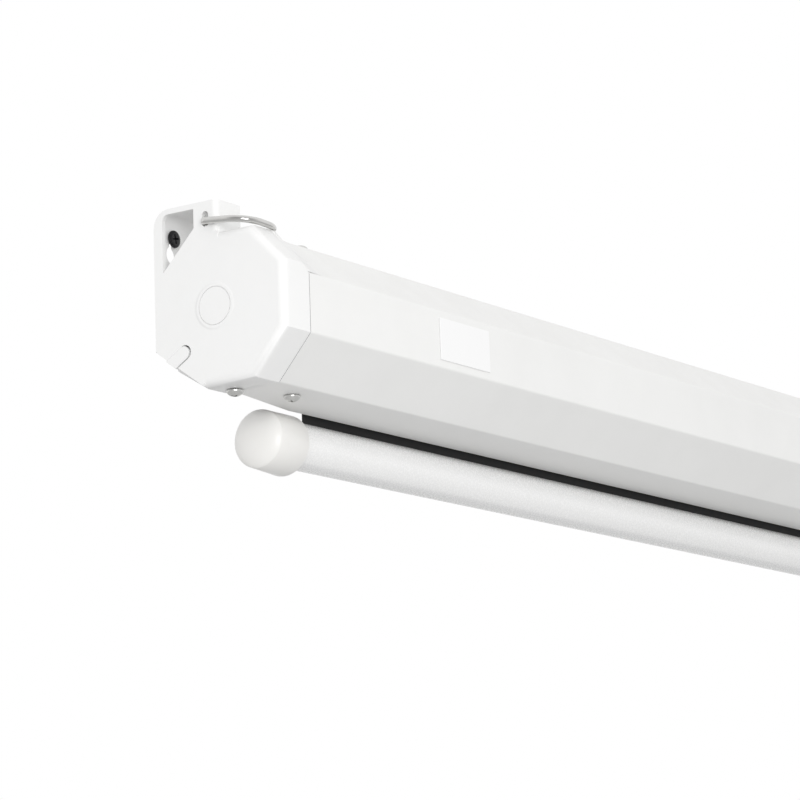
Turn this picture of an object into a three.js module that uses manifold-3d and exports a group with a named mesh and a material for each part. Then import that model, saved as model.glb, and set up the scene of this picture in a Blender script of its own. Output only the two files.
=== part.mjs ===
// A manual pull-down projection screen in an eight-sided wall casing.
// Lengths are millimetres and +Z is up. Every piece is drawn about the roller's axis:
// X runs from the left end face to the right one, Y = 0 and Z = 0 lie on the roller's axis,
// -Y faces the room and +Y the wall. The last lines move the whole screen so that its
// origin is the point where the left end cap's back meets the wall.
import * as THREE from "three";
import { mergeVertices } from "three/addons/utils/BufferGeometryUtils.js";
import Module from "manifold-3d";

const wasm = await Module();
wasm.setup();

// Driving dimensions of the whole screen
const overallLength = 1700;
const wallReach = 36.6; // roller axis to the wall
const fit = 0.3; // gap between pieces that touch
const screwFit = 0.4; // gap round a screw's shank
const overrun = 1; // how far a cutting tool runs past a face

// The casing's eight-sided section
const casingFront = 42; // roller axis to the front face
const casingBack = 36; // roller axis to the back face
const casingTop = 33.9;
const casingBottom = 38.1;
const upperBevel = 20.7; // both upper bevels are at 45 degrees
const lowerBevelRun = 19.7;
const lowerBevelRise = 21.8;
const sheet = 1; // thickness of the folded sheet
const bendRadius = 2;
const slotLip = 17; // front edge of the fabric slot, behind the roller axis
const backLip = 18; // lower edge of the back face, under the roller axis
const hemDepth = 6;
const hemGap = 0.6;
const lipTrim = 8.5; // how much narrower the slot's lip is beside the end caps
const lipTrimLength = 56; // the length over which the trim runs out
const lipTrimLevel = 10; // the part of that length that stays fully trimmed

// The end caps
const capPlate = 2.4; // thickness of the flat end face
const capDepth = 20.5; // end face to the seam on the front
const capRaise = 3.1; // how far the cap's top stands above the casing's
const capBevelRaise = 4.1; // the same, measured up the front face
const capBackRaise = 2.9; // the same, measured up the back face
const capEdgeRadius = 4.2; // rounding of the end face's edge
const capHeelEdge = 1; // the bracket's flange keeps the heel's corner this sharp
const capBottomDrop = 1.4; // the cap's heel hangs this far under the casing
const capHeel = 8; // back end of the cap's bottom, behind the roller axis
const capLapEnd = 31; // where the cap's shoulder runs out over the casing
const shoulderStart = 19; // where the shoulder starts to fall, on top
const shoulderFrontStart = 14.5; // the same, on the front face
const lapEdge = 0.4; // thickness of the shoulder's last edge
const capWall = 2.2; // wall of the sleeve inside the casing
const sleeveEnd = 28; // end of that sleeve
const tongueEnd = 58; // end of the screw tongues
const tongueWidth = 26;
const tongueThickness = 3;
const tongueMargin = 4; // screw's middle to the nearer edge of the upper tongue
const capWeb = 2.5; // the web that ties the sleeve to the cap's outer wall
const discRadius = 9.5; // the round mark over the roller's axle
const discGroove = 0.4;
const discGrooveDepth = 0.5;
const bossRadius = 9.6;
const bossDepth = 1.6;

// The bracket on each end cap
const bracketDepth = 19.2; // its length along the screen
const bracketTop = 53; // roller axis to the top of the bracket
const bracketWall = 2.6;
const bracketCorner = 9;
const earFront = 2.5; // front wall of the bracket, in front of the roller axis
const earWall = 2;
const earEdgeRadius = 3; // rounding of the upright edge between end face and front wall
const wingEnd = 35; // the top and back walls run on to here behind the pocket
const wingFoot = 30; // roller axis to the lower edge of that part
const wingFront = 22; // front corner of that part, beside the bracket
const wingTip = 33; // front corner of that part, at its far end
const bracketFoot = 18; // lower corner of the wall plate, under the roller axis
const bracketFootRounding = 4;
const pocketBack = 31.2; // the open pocket's back edge
const pocketFront = 11.7;
const pocketTop = 50.2;
const pocketCorner = 3.5;
const keyholeX = 11.2; // end face to the keyhole's middle
const keyholeZ = 32.6; // roller axis to the middle of the keyhole's round mouth
const keyholeRadius = 4.6;
const keyholeSlotRadius = 2.4;
const keyholeRise = 8; // mouth to the top of the narrow slot
const ringSlotLow = 40.1; // the upright slot that the ring's wire passes through
const ringSlotHigh = 47.9;
const ringSlotY = 4.5;
const notchWidth = 7.6;
const notchEndY = 18.8;
const notchEndZ = -20.5;
const notchSlope = 31; // degrees below the horizontal
const notchLength = 22;
const latchHalf = 3.4; // half the width of the tongue in the notch
const latchFace = 0.3; // the tongue lies this far behind the end face
const latchDepth = 4;
const latchAlong = 0.9; // gap left at the tongue's round end
const latchReach = 9.5; // middle of the tongue's round end to its tip
const latchSlant = 0.407; // the tip runs with the cap's lower edge

// The hanging ring: a rounded loop of wire. Its sides are given to the middle of the wire.
const ringWire = 3.4; // diameter
const ringOutside = 2.3; // end face to the side that lies in front of it
const ringInside = 28; // end face to the side that lies over the cap
const ringRoom = 22.8; // roller axis to the side nearest the room
const ringNearCorner = 12; // bend in front of the end face
const ringFarCorner = 14; // bend over the cap, toward the room
const ringBackCorner = 9; // bend over the cap, toward the slot
const ringHook = 2.4; // the tight bend beside the slot
const ringLevel = 42.5; // roller axis to the wire, where it crosses the end face
const ringTiltAcross = 6; // degrees, front side down
const ringTiltAlong = 2; // degrees, inner side down

// Screws
const panHeadRadius = 4.2;
const panHeadHeight = 2.9;
const panShankRadius = 1.6;
const panLength = 8;
const crossWidth = 0.9;
const crossLength = 4.2;
const crossDepth = 1.2;
const capScrewX = 15.2;
const capScrewY = 0.4;
const casingScrewX = 50.5;
const casingScrewBottomY = -8;
const casingScrewTopX = 52.6;
const casingScrewTopY = -14;
const wallHeadRadius = 4.4;
const wallHeadNeck = 3; // radius of the head's underside
const wallHeadHeight = 2;
const wallShankRadius = 1.9;
const wallShankLength = 8.5;
const wallThreadPitch = 2.2;

// The roller and what holds it
const tubeRadius = 19;
const tubeWall = 1.2;
const tubeInset = 30; // end face to the roller tube's end
const plugLength = 16;
const flangeThickness = 2.6;
const axleRadius = 3;
const axleLength = 36;
const axleStart = 5.2; // end face to the axle's head
const axleHead = 5;
const axleHeadThickness = 2.2;
const bearingPlate = 1.5;
const bearingX = 8; // end face to the bearing plate
const bearingWidth = 22;
const bearingTop = 11;
const bearingFoot = 11.5;
const bearingFootMargin = 3.4; // screw's middle to the foot's back edge

// The spring drive, inside the right end of the roller
const shaftRadius = 3.5;
const shaftTail = 4.2; // spring collar to the shaft's far end
const anchorStart = 60;
const anchorLength = 8;
const anchorRadius = 12;
const springRadius = 10.5; // to the middle of the wire
const springWire = 2.4;
const springTurns = 22;
const springLength = 280;
const collarLength = 10;
const ratchetStart = 23.4;
const ratchetThickness = 3;
const ratchetShare = 0.4737; // of the roller tube's radius
const pawlPivotShare = 0.7632; // of the same, from the roller axis to the pawl's pin
const pawlReach = 9.2;
const pawlWidth = 2.6;
const pawlEye = 2.6;
const pawlPinRadius = 1.1;
const pawlSwing = 16; // degrees from lifted to engaged
const pawlLean = 42.4; // degrees below the horizontal, when lifted
const notchClearance = 0.5;

// The fabric
const fabricInset = 103.5; // end face to the fabric's edge
const fabricThickness = 0.45;
const rollDepth = 5; // the wound cloth on the tube
const rollRadius = tubeRadius + rollDepth;
const fabricY = rollRadius + fit + fabricThickness / 2;

// The weight bar
const barDrop = 53.2; // roller axis to the bar's axis
const barRadius = 12.2;
const barWall = 1;
const barInset = 66; // end face to the bar tube's end
const barSlot = 1.6;
const barCapRadius = 15; // at the domed end
const barCapBore = 13.1;
const barCapMouthRadius = 15.7; // at the open end
const barCapMouthBore = 13.8;
const barCapLength = 21.5;
const barCapRim = -0.3; // bar tube's end to the edge of the cap's domed end
const barCapDome = 8.3; // depth of the ellipsoid that the domed end is part of
const barCapDomeRadius = 16; // its radius, a little more than the cap's own
const barCapTilt = 2.4; // degrees that the loose cap droops
const barCapDrop = 0.2; // how much the cap hangs lower than the tube
const hemRodRadius = 2.6;
const hemRodInset = 6; // bar tube's end to the hem rod's end

// The pull handle under the middle of the bar
const saddleLength = 46;
const saddleWidth = 12;
const saddleThickness = 1.6;
const earDrop = 9;
const earHole = 2.4;
const handleWire = 4; // diameter
const handleDrop = 30;
const handleBend = 8;
const handleEndReach = 4;

// The bare plate on the casing's front
const badgeStart = 133;
const badgeLength = 46;
const badgeLow = -12.3;
const badgeHeight = 22;
const badgeThickness = 0.4;

// Counts of faces
const roundSides = 32;
const smallSides = 12;
const bendSteps = 3;
const ringSides = 8;
const ringSteps = 7;

// Materials
function material(color, roughness, metalness) {
  return new THREE.MeshStandardMaterial({ color, roughness, metalness });
}
const capPlastic = material(0xf3f3f1, 0.42, 0);
const whiteEnamel = material(0xf1f1f0, 0.35, 0.1);
const nickel = material(0xb9b4ae, 0.22, 1);
const steel = material(0x9a9a98, 0.4, 1);
const blackSteel = material(0x1c1c1e, 0.45, 0.6);
const plainSteel = material(0x8f9296, 0.45, 0.9);
const blackPlastic = material(0x2a2a2c, 0.55, 0);
const blackCloth = material(0x1a1a1a, 0.9, 0);
const paleCloth = material(0xe9e9e6, 0.9, 0);
const badgeVinyl = material(0xf6f6f6, 0.3, 0);
const barPlastic = material(0xe4e4de, 0.5, 0);

// Solids and booleans
function solid(geometry) {
  const bare = geometry.index ? geometry.toNonIndexed() : geometry.clone();
  const positions = new THREE.BufferGeometry();
  positions.setAttribute("position", bare.getAttribute("position"));
  const merged = mergeVertices(positions, 1e-4);
  return new wasm.Manifold(
    new wasm.Mesh({
      numProp: 3,
      vertProperties: merged.getAttribute("position").array,
      triVerts: new Uint32Array(merged.index.array),
    }),
  );
}

function geometryOf(body) {
  const mesh = body.getMesh();
  const count = mesh.numVert;
  const stride = mesh.numProp;
  const points = new Float32Array(count * 3);
  for (let i = 0; i < count; i++) {
    points.set(mesh.vertProperties.subarray(i * stride, i * stride + 3), i * 3);
  }
  const geometry = new THREE.BufferGeometry();
  geometry.setAttribute("position", new THREE.BufferAttribute(points, 3));
  geometry.setIndex(new THREE.BufferAttribute(mesh.triVerts, 1));
  geometry.computeVertexNormals();
  return geometry;
}

function join(...bodies) {
  return bodies.reduce((whole, body) => whole.add(body));
}

function cut(body, ...tools) {
  return tools.reduce((whole, tool) => whole.subtract(tool), body);
}

// Basic shapes along the screen's own axes
const alongX = new THREE.Matrix4().makeBasis(
  new THREE.Vector3(0, 1, 0),
  new THREE.Vector3(0, 0, 1),
  new THREE.Vector3(1, 0, 0),
);

function shapeOf(outline) {
  return new THREE.Shape(outline.map(([u, v]) => new THREE.Vector2(u, v)));
}

// An outline of [y, z] points, extruded along X
function prismX(outline, start, end) {
  const geometry = new THREE.ExtrudeGeometry(shapeOf(outline), {
    depth: end - start,
    bevelEnabled: false,
  });
  geometry.applyMatrix4(alongX);
  geometry.translate(start, 0, 0);
  return solid(geometry);
}

// An outline of [x, y] points, extruded along Z
function prismZ(outline, start, end) {
  const geometry = new THREE.ExtrudeGeometry(shapeOf(outline), {
    depth: end - start,
    bevelEnabled: false,
  });
  geometry.translate(0, 0, start);
  return solid(geometry);
}

function block(x0, x1, y0, y1, z0, z1) {
  const geometry = new THREE.BoxGeometry(x1 - x0, y1 - y0, z1 - z0);
  geometry.translate((x0 + x1) / 2, (y0 + y1) / 2, (z0 + z1) / 2);
  return solid(geometry);
}

function rodX(radius, start, end, y, z, sides = smallSides) {
  const geometry = new THREE.CylinderGeometry(radius, radius, end - start, sides);
  geometry.rotateZ(-Math.PI / 2);
  geometry.translate((start + end) / 2, y, z);
  return solid(geometry);
}

function rodY(radius, start, end, x, z, sides = smallSides) {
  const geometry = new THREE.CylinderGeometry(radius, radius, end - start, sides);
  geometry.translate(x, (start + end) / 2, z);
  return solid(geometry);
}

function rodZ(radius, start, end, x, y, sides = smallSides) {
  const geometry = new THREE.CylinderGeometry(radius, radius, end - start, sides);
  geometry.rotateX(Math.PI / 2);
  geometry.translate(x, y, (start + end) / 2);
  return solid(geometry);
}

// A profile of [x, radius] points, turned about the X axis
function turnedX(profile, y, z, sides = roundSides) {
  const points = profile.map(([x, radius]) => new THREE.Vector2(radius, x));
  const geometry = new THREE.LatheGeometry(points, sides);
  geometry.rotateZ(-Math.PI / 2);
  geometry.translate(0, y, z);
  return solid(geometry);
}

// Outlines
function degrees(angle) {
  return (angle * Math.PI) / 180;
}

// The corners of an open path, each inner one replaced by an arc
function bentPath(points, radius, steps = bendSteps) {
  const path = [points[0]];
  for (let i = 1; i < points.length - 1; i++) {
    path.push(...cornerArc(points[i - 1], points[i], points[i + 1], radius, steps));
  }
  path.push(points[points.length - 1]);
  return path;
}

function cornerArc(before, corner, after, radius, steps) {
  const c = new THREE.Vector2(...corner);
  const back = new THREE.Vector2(...before).sub(c).normalize();
  const forward = new THREE.Vector2(...after).sub(c).normalize();
  const half = Math.acos(THREE.MathUtils.clamp(back.dot(forward), -1, 1)) / 2;
  const start = c.clone().addScaledVector(back, radius / Math.tan(half));
  const end = c.clone().addScaledVector(forward, radius / Math.tan(half));
  const middle = back.clone().add(forward).normalize();
  const centre = c.clone().addScaledVector(middle, radius / Math.sin(half));
  const from = start.clone().sub(centre);
  const sweep = Math.PI - 2 * half;
  const turn = Math.sign(from.cross(end.clone().sub(centre)));
  const arc = [];
  for (let k = 0; k <= steps; k++) {
    const p = from.clone().rotateAround(new THREE.Vector2(), (turn * sweep * k) / steps);
    arc.push([centre.x + p.x, centre.y + p.y]);
  }
  return arc;
}

// A path moved sideways, to the left of its direction
function offsetPath(points, distance, closed = false) {
  const count = points.length;
  return points.map((point, i) => {
    const before = points[(i - 1 + count) % count];
    const after = points[(i + 1) % count];
    const first = !closed && i === 0;
    const last = !closed && i === count - 1;
    const incoming = leftOf(first ? point : before, first ? after : point);
    const outgoing = leftOf(last ? before : point, last ? point : after);
    const middle = incoming.clone().add(outgoing).normalize();
    const reach = distance / middle.dot(incoming);
    return [point[0] + middle.x * reach, point[1] + middle.y * reach];
  });
}

function leftOf(from, to) {
  return new THREE.Vector2(from[1] - to[1], to[0] - from[0]).normalize();
}

// A body lofted through sections of [y, z] points, each at its own x
function loft(sections) {
  const count = sections[0].points.length;
  const positions = [];
  const indices = [];
  for (const section of sections) {
    for (const [y, z] of section.points) {
      positions.push(section.x, y, z);
    }
  }
  for (let s = 0; s + 1 < sections.length; s++) {
    for (let i = 0; i < count; i++) {
      const a = s * count + i;
      const b = s * count + ((i + 1) % count);
      indices.push(a, b, b + count, a, b + count, a + count);
    }
  }
  const ends = [0, sections.length - 1];
  for (const end of ends) {
    const contour = sections[end].points.map(([y, z]) => new THREE.Vector2(y, z));
    for (const [a, b, c] of THREE.ShapeUtils.triangulateShape(contour, [])) {
      const base = end * count;
      indices.push(base + a, base + (end ? b : c), base + (end ? c : b));
    }
  }
  const geometry = new THREE.BufferGeometry();
  geometry.setAttribute("position", new THREE.Float32BufferAttribute(positions, 3));
  geometry.setIndex(indices);
  return solid(geometry);
}

// The casing: one folded sheet, open along its lower back bevel
const casingCorners = [
  [slotLip, -casingBottom],
  [-casingFront + lowerBevelRun, -casingBottom],
  [-casingFront, -casingBottom + lowerBevelRise],
  [-casingFront, casingTop - upperBevel],
  [-casingFront + upperBevel, casingTop],
  [casingBack - upperBevel, casingTop],
  [casingBack, casingTop - upperBevel],
  [casingBack, -backLip],
];
const casingStart = capDepth + fit;
const casingEnd = overallLength - casingStart;

// The sheet's section runs round the outside, folds its back hem, and returns inside
function casingSection() {
  const outer = bentPath(casingCorners, bendRadius);
  const inner = offsetPath(casingCorners, -sheet);
  const frontHem = 2 * sheet + hemGap;
  const frontFold = [
    [slotLip - sheet, -casingBottom + sheet],
    [slotLip - sheet, -casingBottom + sheet + hemGap],
    [slotLip - hemDepth, -casingBottom + sheet + hemGap],
    [slotLip - hemDepth, -casingBottom + frontHem],
    [slotLip, -casingBottom + frontHem],
  ];
  const backFold = [
    [casingBack - frontHem, -backLip],
    [casingBack - frontHem, -backLip + hemDepth],
    [casingBack - sheet - hemGap, -backLip + hemDepth],
    [casingBack - sheet - hemGap, -backLip + sheet],
    [casingBack - sheet, -backLip + sheet],
  ];
  const inside = bentPath(inner, bendRadius - sheet).slice(1, -1).reverse();
  return [...outer, ...backFold, ...inside, ...frontFold];
}

// The slot's front lip is narrower beside each end cap
function lipTool(mirror) {
  const side = mirror ? (x) => overallLength - x : (x) => x;
  const trimmed = slotLip - lipTrim;
  const outline = [
    [side(casingStart - overrun), trimmed],
    [side(casingStart + lipTrimLevel), trimmed],
    [side(casingStart + lipTrimLevel + lipTrimLength), slotLip + overrun],
    [side(casingStart - overrun), slotLip + overrun],
  ];
  const low = -casingBottom - overrun;
  const high = -casingBottom + 2 * sheet + hemGap + overrun;
  return prismZ(mirror ? outline.reverse() : outline, low, high);
}

function casingShell() {
  const shell = prismX(casingSection(), casingStart, casingEnd);
  const hole = panShankRadius + screwFit;
  const holes = [1, -1].flatMap((way) => {
    const end = way > 0 ? 0 : overallLength;
    const lowX = end + way * casingScrewX;
    const topX = end + way * casingScrewTopX;
    return [
      rodZ(hole, -casingBottom - overrun, -casingBottom + hemDepth, lowX, casingScrewBottomY),
      rodZ(hole, casingTop - hemDepth, casingTop + overrun, topX, casingScrewTopY),
    ];
  });
  return cut(shell, lipTool(false), lipTool(true), ...holes);
}

// How much of the cap's raised shoulder is left at x: 1 at its start, 0 at its end
function shoulder(x, start, end) {
  const along = THREE.MathUtils.clamp((x - start) / (end - start), 0, 1);
  return 1 - along * along * (3 - 2 * along);
}

// The cap's outer section at x, with its raised top and bevels
function capSection(x) {
  const onTop = shoulder(x, shoulderStart, capLapEnd);
  const onFront = shoulder(x, shoulderFrontStart, capDepth + fit);
  const inward = capBevelRaise - capRaise;
  const heel = -casingBottom - capBottomDrop;
  const section = [
    [-casingFront, casingTop - upperBevel + capBevelRaise * onFront],
    [-casingFront, -casingBottom + lowerBevelRise],
    [-casingFront + lowerBevelRun, -casingBottom],
    [capHeel, heel],
    [THREE.MathUtils.lerp(capHeel, casingBack, 0.62), THREE.MathUtils.lerp(heel, -backLip, 0.5)],
    [casingBack, -backLip],
    [casingBack, casingTop - upperBevel + capBackRaise * onTop],
    [casingBack - upperBevel - (capRaise - capBackRaise) * onTop, casingTop + capRaise * onTop],
    [-casingFront + upperBevel - inward * onTop, casingTop + capRaise * onTop],
  ];
  const depth = Math.max(capEdgeRadius - x, 0);
  const inset = capEdgeRadius - Math.sqrt(capEdgeRadius ** 2 - depth ** 2);
  return { x, points: offsetPath(section, inset, true) };
}

function capCup() {
  const edges = [0, 0.06, 0.24, 0.54, 1].map((share) => share * capEdgeRadius);
  const front = capDepth - shoulderFrontStart;
  const falls = [0, 0.3, 0.6, 0.85, 1].map((share) => shoulderFrontStart + share * front);
  return loft([...edges, ...falls].map(capSection));
}

// The shoulder that laps over the casing's top and upper bevels
function lapSection(x) {
  const onTop = shoulder(x, shoulderStart, capLapEnd);
  const edge = fit + lapEdge;
  const low = casingTop - upperBevel;
  const rise = edge + (capRaise - edge) * onTop;
  const backRise = edge + (capBackRaise - edge) * onTop;
  const inward = (capBevelRaise - capRaise) * onTop;
  const slant = Math.SQRT2;
  return {
    x,
    points: [
      [-casingFront, low + slant * edge],
      [-casingFront, low + slant * fit],
      [-casingFront + upperBevel - fit * (slant - 1), casingTop + fit],
      [casingBack - upperBevel + fit * (slant - 1), casingTop + fit],
      [casingBack, low + slant * fit],
      [casingBack, low + slant * edge + (backRise - edge)],
      [casingBack - upperBevel + edge * (slant - 1), casingTop + rise],
      [-casingFront + upperBevel - edge * (slant - 1) - inward, casingTop + rise],
    ],
  };
}

function capLap() {
  const start = shoulderStart - overrun;
  const length = capLapEnd - start;
  const shares = [0, 0.2, 0.36, 0.52, 0.68, 0.84, 1];
  return loft(shares.map((share) => lapSection(start + share * length)));
}

// The sleeve that enters the casing, clear of the folded hem at the casing's back
function sleeveCorners(inset) {
  const corners = offsetPath(casingCorners, -inset);
  const low = corners[1][1];
  const back = -backLip + hemDepth + inset;
  return [[capHeel - inset, low], ...corners.slice(1, -1), [corners[7][0], back]];
}

function closedReverse(points) {
  return [...points].reverse();
}

function capSleeve() {
  const outer = sleeveCorners(sheet + fit);
  return prismX(closedReverse(outer), capDepth - overrun, sleeveEnd);
}

// The cap's hollow is wide in front of the web and as narrow as the sleeve behind it
const capFloor = -casingBottom + sheet + fit + capWall;
function capHollow() {
  const wide = offsetPath(capSection(capEdgeRadius).points, capWall, true);
  const webStart = capDepth - capWeb;
  const floor = block(0, capDepth, -casingFront, casingBack, -2 * casingBottom, capFloor);
  const narrow = sleeveCorners(sheet + fit + capWall);
  return join(
    cut(prismX(wide, capPlate, webStart), floor),
    prismX(closedReverse(narrow), capPlate, sleeveEnd + overrun),
  );
}

// A tongue under the casing's sheet takes a screw. Its front edge is at y0.
function capTongue(y0, screwY, side) {
  const edge = (side < 0 ? casingBottom : casingTop) - sheet - fit;
  const inner = edge - tongueThickness;
  const near = sleeveEnd - capWeb;
  const z = [side * edge, side * inner].sort((a, b) => a - b);
  const tongue = block(near, tongueEnd, y0, y0 + tongueWidth, z[0], z[1]);
  const hole = panShankRadius + screwFit;
  const screwX = side > 0 ? casingScrewTopX : casingScrewX;
  return cut(tongue, rodZ(hole, z[0] - overrun, z[1] + overrun, screwX, screwY));
}

// The flat flange that carries the bracket and reaches back to the wall
function flangeOutline() {
  const top = bentPath(
    [
      [-earFront, bracketTop],
      [wallReach, bracketTop],
      [wallReach, casingTop],
    ],
    bracketCorner,
    5,
  );
  const heel = -casingBottom - capBottomDrop;
  const foot = bentPath(
    [
      [wallReach, casingTop],
      [wallReach, -bracketFoot],
      [capHeel, heel + capHeelEdge],
    ],
    bracketFootRounding,
    3,
  );
  return closedReverse([[-earFront, 0], ...top, ...foot.slice(1), [-earFront, heel / 2]]);
}

function bracketBand() {
  const outer = bentPath(
    [
      [-earFront, bracketTop],
      [wallReach, bracketTop],
      [wallReach, -bracketFoot],
    ],
    bracketCorner,
    5,
  );
  const inner = bentPath(
    [
      [-earFront + earWall, bracketTop - bracketWall],
      [wallReach - bracketWall, bracketTop - bracketWall],
      [wallReach - bracketWall, -bracketFoot + bracketWall],
    ],
    bracketCorner - bracketWall,
    5,
  );
  const foot = casingTop + capRaise - overrun;
  const outline = [
    [-earFront, foot],
    ...outer,
    ...inner.reverse(),
    [-earFront + earWall, foot],
  ];
  const band = prismX(closedReverse(outline), 0, wingEnd);
  const past = wallReach + overrun;
  const clearance = [
    [bracketDepth, -earFront - overrun],
    [wingEnd + overrun, -earFront - overrun],
    [wingEnd + overrun, wingTip],
    [wingEnd, wingTip],
    [bracketDepth, wingFront],
  ];
  return cut(
    band,
    prismZ(clearance, 0, bracketTop + overrun),
    block(bracketDepth, wingEnd + overrun, 0, past, -bracketFoot - overrun, wingFoot),
  );
}

// Rounds the upright edge where the end face meets the bracket's front wall
function earEdgeTool() {
  const corner = [0, -earFront];
  const arc = cornerArc([0, 0], corner, [bracketDepth, -earFront], earEdgeRadius, 5);
  const outline = [
    [-overrun, -earFront - overrun],
    [earEdgeRadius, -earFront - overrun],
    ...arc.reverse(),
    [-overrun, -earFront + earEdgeRadius],
  ];
  return prismZ(outline, casingTop + capRaise, bracketTop + overrun);
}

// The cuts through the end face
function pocketTool() {
  const sum = casingBack + casingTop - upperBevel + capBackRaise;
  const under = [pocketBack, sum - pocketBack];
  const front = [pocketFront, pocketTop];
  const outline = [
    under,
    ...cornerArc(under, [pocketBack, pocketTop], front, pocketCorner, 5),
    front,
    [pocketFront, sum - pocketFront],
  ];
  return prismX(outline, -overrun, capPlate + overrun);
}

// An upright slot with round ends, for the ring's wire
function ringSlotTool() {
  const half = ringWire / 2 + fit;
  const end = capPlate + overrun;
  const low = ringSlotLow + half;
  const high = ringSlotHigh - half;
  return join(
    block(-overrun, end, ringSlotY - half, ringSlotY + half, low, high),
    rodX(half, -overrun, end, ringSlotY, low, 16),
    rodX(half, -overrun, end, ringSlotY, high, 16),
  );
}

// A point of the slanted notch, from the middle of its round end
function notchPoint(along, across) {
  const slope = degrees(notchSlope);
  return [
    notchEndY + along * Math.cos(slope) + across * Math.sin(slope),
    notchEndZ - along * Math.sin(slope) + across * Math.cos(slope),
  ];
}

function notchTool() {
  const half = notchWidth / 2;
  const outline = [
    notchPoint(0, -half),
    notchPoint(notchLength, -half),
    notchPoint(notchLength, half),
    notchPoint(0, half),
  ];
  const end = capDepth + overrun;
  return join(prismX(outline, -overrun, end), rodX(half, -overrun, end, notchEndY, notchEndZ, 16));
}

// The tongue in the notch grows from the notch's upper side and leaves a thin gap elsewhere
function latch() {
  const middle = notchWidth / 2 - latchHalf + fit / 2;
  const low = middle - latchHalf;
  const high = middle + latchHalf;
  const tip = latchAlong + latchReach;
  const outline = [
    notchPoint(latchAlong, low),
    notchPoint(tip - latchSlant * latchHalf, low),
    notchPoint(tip + latchSlant * latchHalf, high),
    notchPoint(latchAlong, high),
  ];
  const end = notchPoint(latchAlong, middle);
  return join(
    prismX(outline, latchFace, latchDepth),
    rodX(latchHalf, latchFace, latchDepth, end[0], end[1], 16),
  );
}

function discTool() {
  return cut(
    rodX(discRadius + discGroove / 2, -overrun, discGrooveDepth, 0, 0, roundSides),
    rodX(discRadius - discGroove / 2, -2 * overrun, 2 * overrun, 0, 0, roundSides),
  );
}

function keyholeTool() {
  const start = wallReach - bracketWall - overrun;
  const end = wallReach + overrun;
  const top = keyholeZ + keyholeRise;
  const half = keyholeSlotRadius;
  return join(
    rodY(keyholeRadius, start, end, keyholeX, keyholeZ, 20),
    block(keyholeX - half, keyholeX + half, start, end, keyholeZ, top),
    rodY(half, start, end, keyholeX, top),
  );
}

function endCap() {
  const shell = cut(capCup(), capHollow());
  const inner = cut(capSleeve(), capHollow());
  const boss = cut(
    rodX(bossRadius, capPlate / 2, capPlate + bossDepth, 0, 0, 24),
    rodX(axleHead + fit, capPlate, capPlate + bossDepth + overrun, 0, 0),
  );
  const flange = prismX(flangeOutline(), 0, capPlate);
  const whole = join(
    shell,
    inner,
    capLap(),
    boss,
    flange,
    bracketBand(),
    capTongue(casingScrewBottomY - tongueWidth / 2, casingScrewBottomY, -1),
    capTongue(casingScrewTopY - tongueMargin, casingScrewTopY, 1),
  );
  const screwHole = rodZ(
    panShankRadius + screwFit,
    -casingBottom - capBottomDrop - overrun,
    -casingBottom + sheet + fit + capWall + overrun,
    capScrewX,
    capScrewY,
  );
  const opened = cut(
    whole,
    pocketTool(),
    ringSlotTool(),
    notchTool(),
    discTool(),
    keyholeTool(),
    earEdgeTool(),
    screwHole,
  );
  return join(opened, latch());
}

// A closed tube along a list of points, for wire that is bent or wound
function wire(points, radius, sides, closed) {
  const count = points.length;
  const positions = [];
  const indices = [];
  let normal = null;
  for (let i = 0; i < count; i++) {
    const before = points[closed ? (i - 1 + count) % count : Math.max(i - 1, 0)];
    const after = points[closed ? (i + 1) % count : Math.min(i + 1, count - 1)];
    const tangent = after.clone().sub(before).normalize();
    if (!normal) {
      const helper = Math.abs(tangent.z) < 0.9 ? [0, 0, 1] : [0, 1, 0];
      normal = new THREE.Vector3(...helper);
    }
    normal.addScaledVector(tangent, -normal.dot(tangent)).normalize();
    const side = tangent.clone().cross(normal);
    for (let k = 0; k < sides; k++) {
      const angle = (2 * Math.PI * k) / sides;
      const p = points[i].clone();
      p.addScaledVector(normal, radius * Math.cos(angle));
      p.addScaledVector(side, radius * Math.sin(angle));
      positions.push(p.x, p.y, p.z);
    }
  }
  const rings = closed ? count : count - 1;
  for (let i = 0; i < rings; i++) {
    for (let k = 0; k < sides; k++) {
      const a = i * sides + k;
      const b = i * sides + ((k + 1) % sides);
      const c = ((i + 1) % count) * sides + k;
      const d = ((i + 1) % count) * sides + ((k + 1) % sides);
      indices.push(a, b, d, a, d, c);
    }
  }
  if (!closed) {
    const last = (count - 1) * sides;
    for (let k = 1; k + 1 < sides; k++) {
      indices.push(0, k + 1, k, last, last + k, last + k + 1);
    }
  }
  const geometry = new THREE.BufferGeometry();
  geometry.setAttribute("position", new THREE.Float32BufferAttribute(positions, 3));
  geometry.setIndex(indices);
  return solid(geometry);
}

function hangingRing() {
  const slot = [-ringOutside, ringSlotY];
  const near = [-ringOutside, -ringRoom];
  const far = [ringInside, -ringRoom];
  const inner = [ringInside, ringSlotY];
  const loop = [
    ...cornerArc(inner, slot, near, ringHook, 5),
    ...cornerArc(slot, near, far, ringNearCorner, ringSteps),
    ...cornerArc(near, far, inner, ringFarCorner, ringSteps),
    ...cornerArc(far, inner, slot, ringBackCorner, ringSteps),
  ];
  const points = loop.map(([x, y]) => {
    const across = (y - ringSlotY) * Math.tan(degrees(ringTiltAcross));
    const along = x * Math.tan(degrees(ringTiltAlong));
    return new THREE.Vector3(x, y, ringLevel + across - along);
  });
  return wire(points, ringWire / 2, ringSides, true);
}

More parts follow.
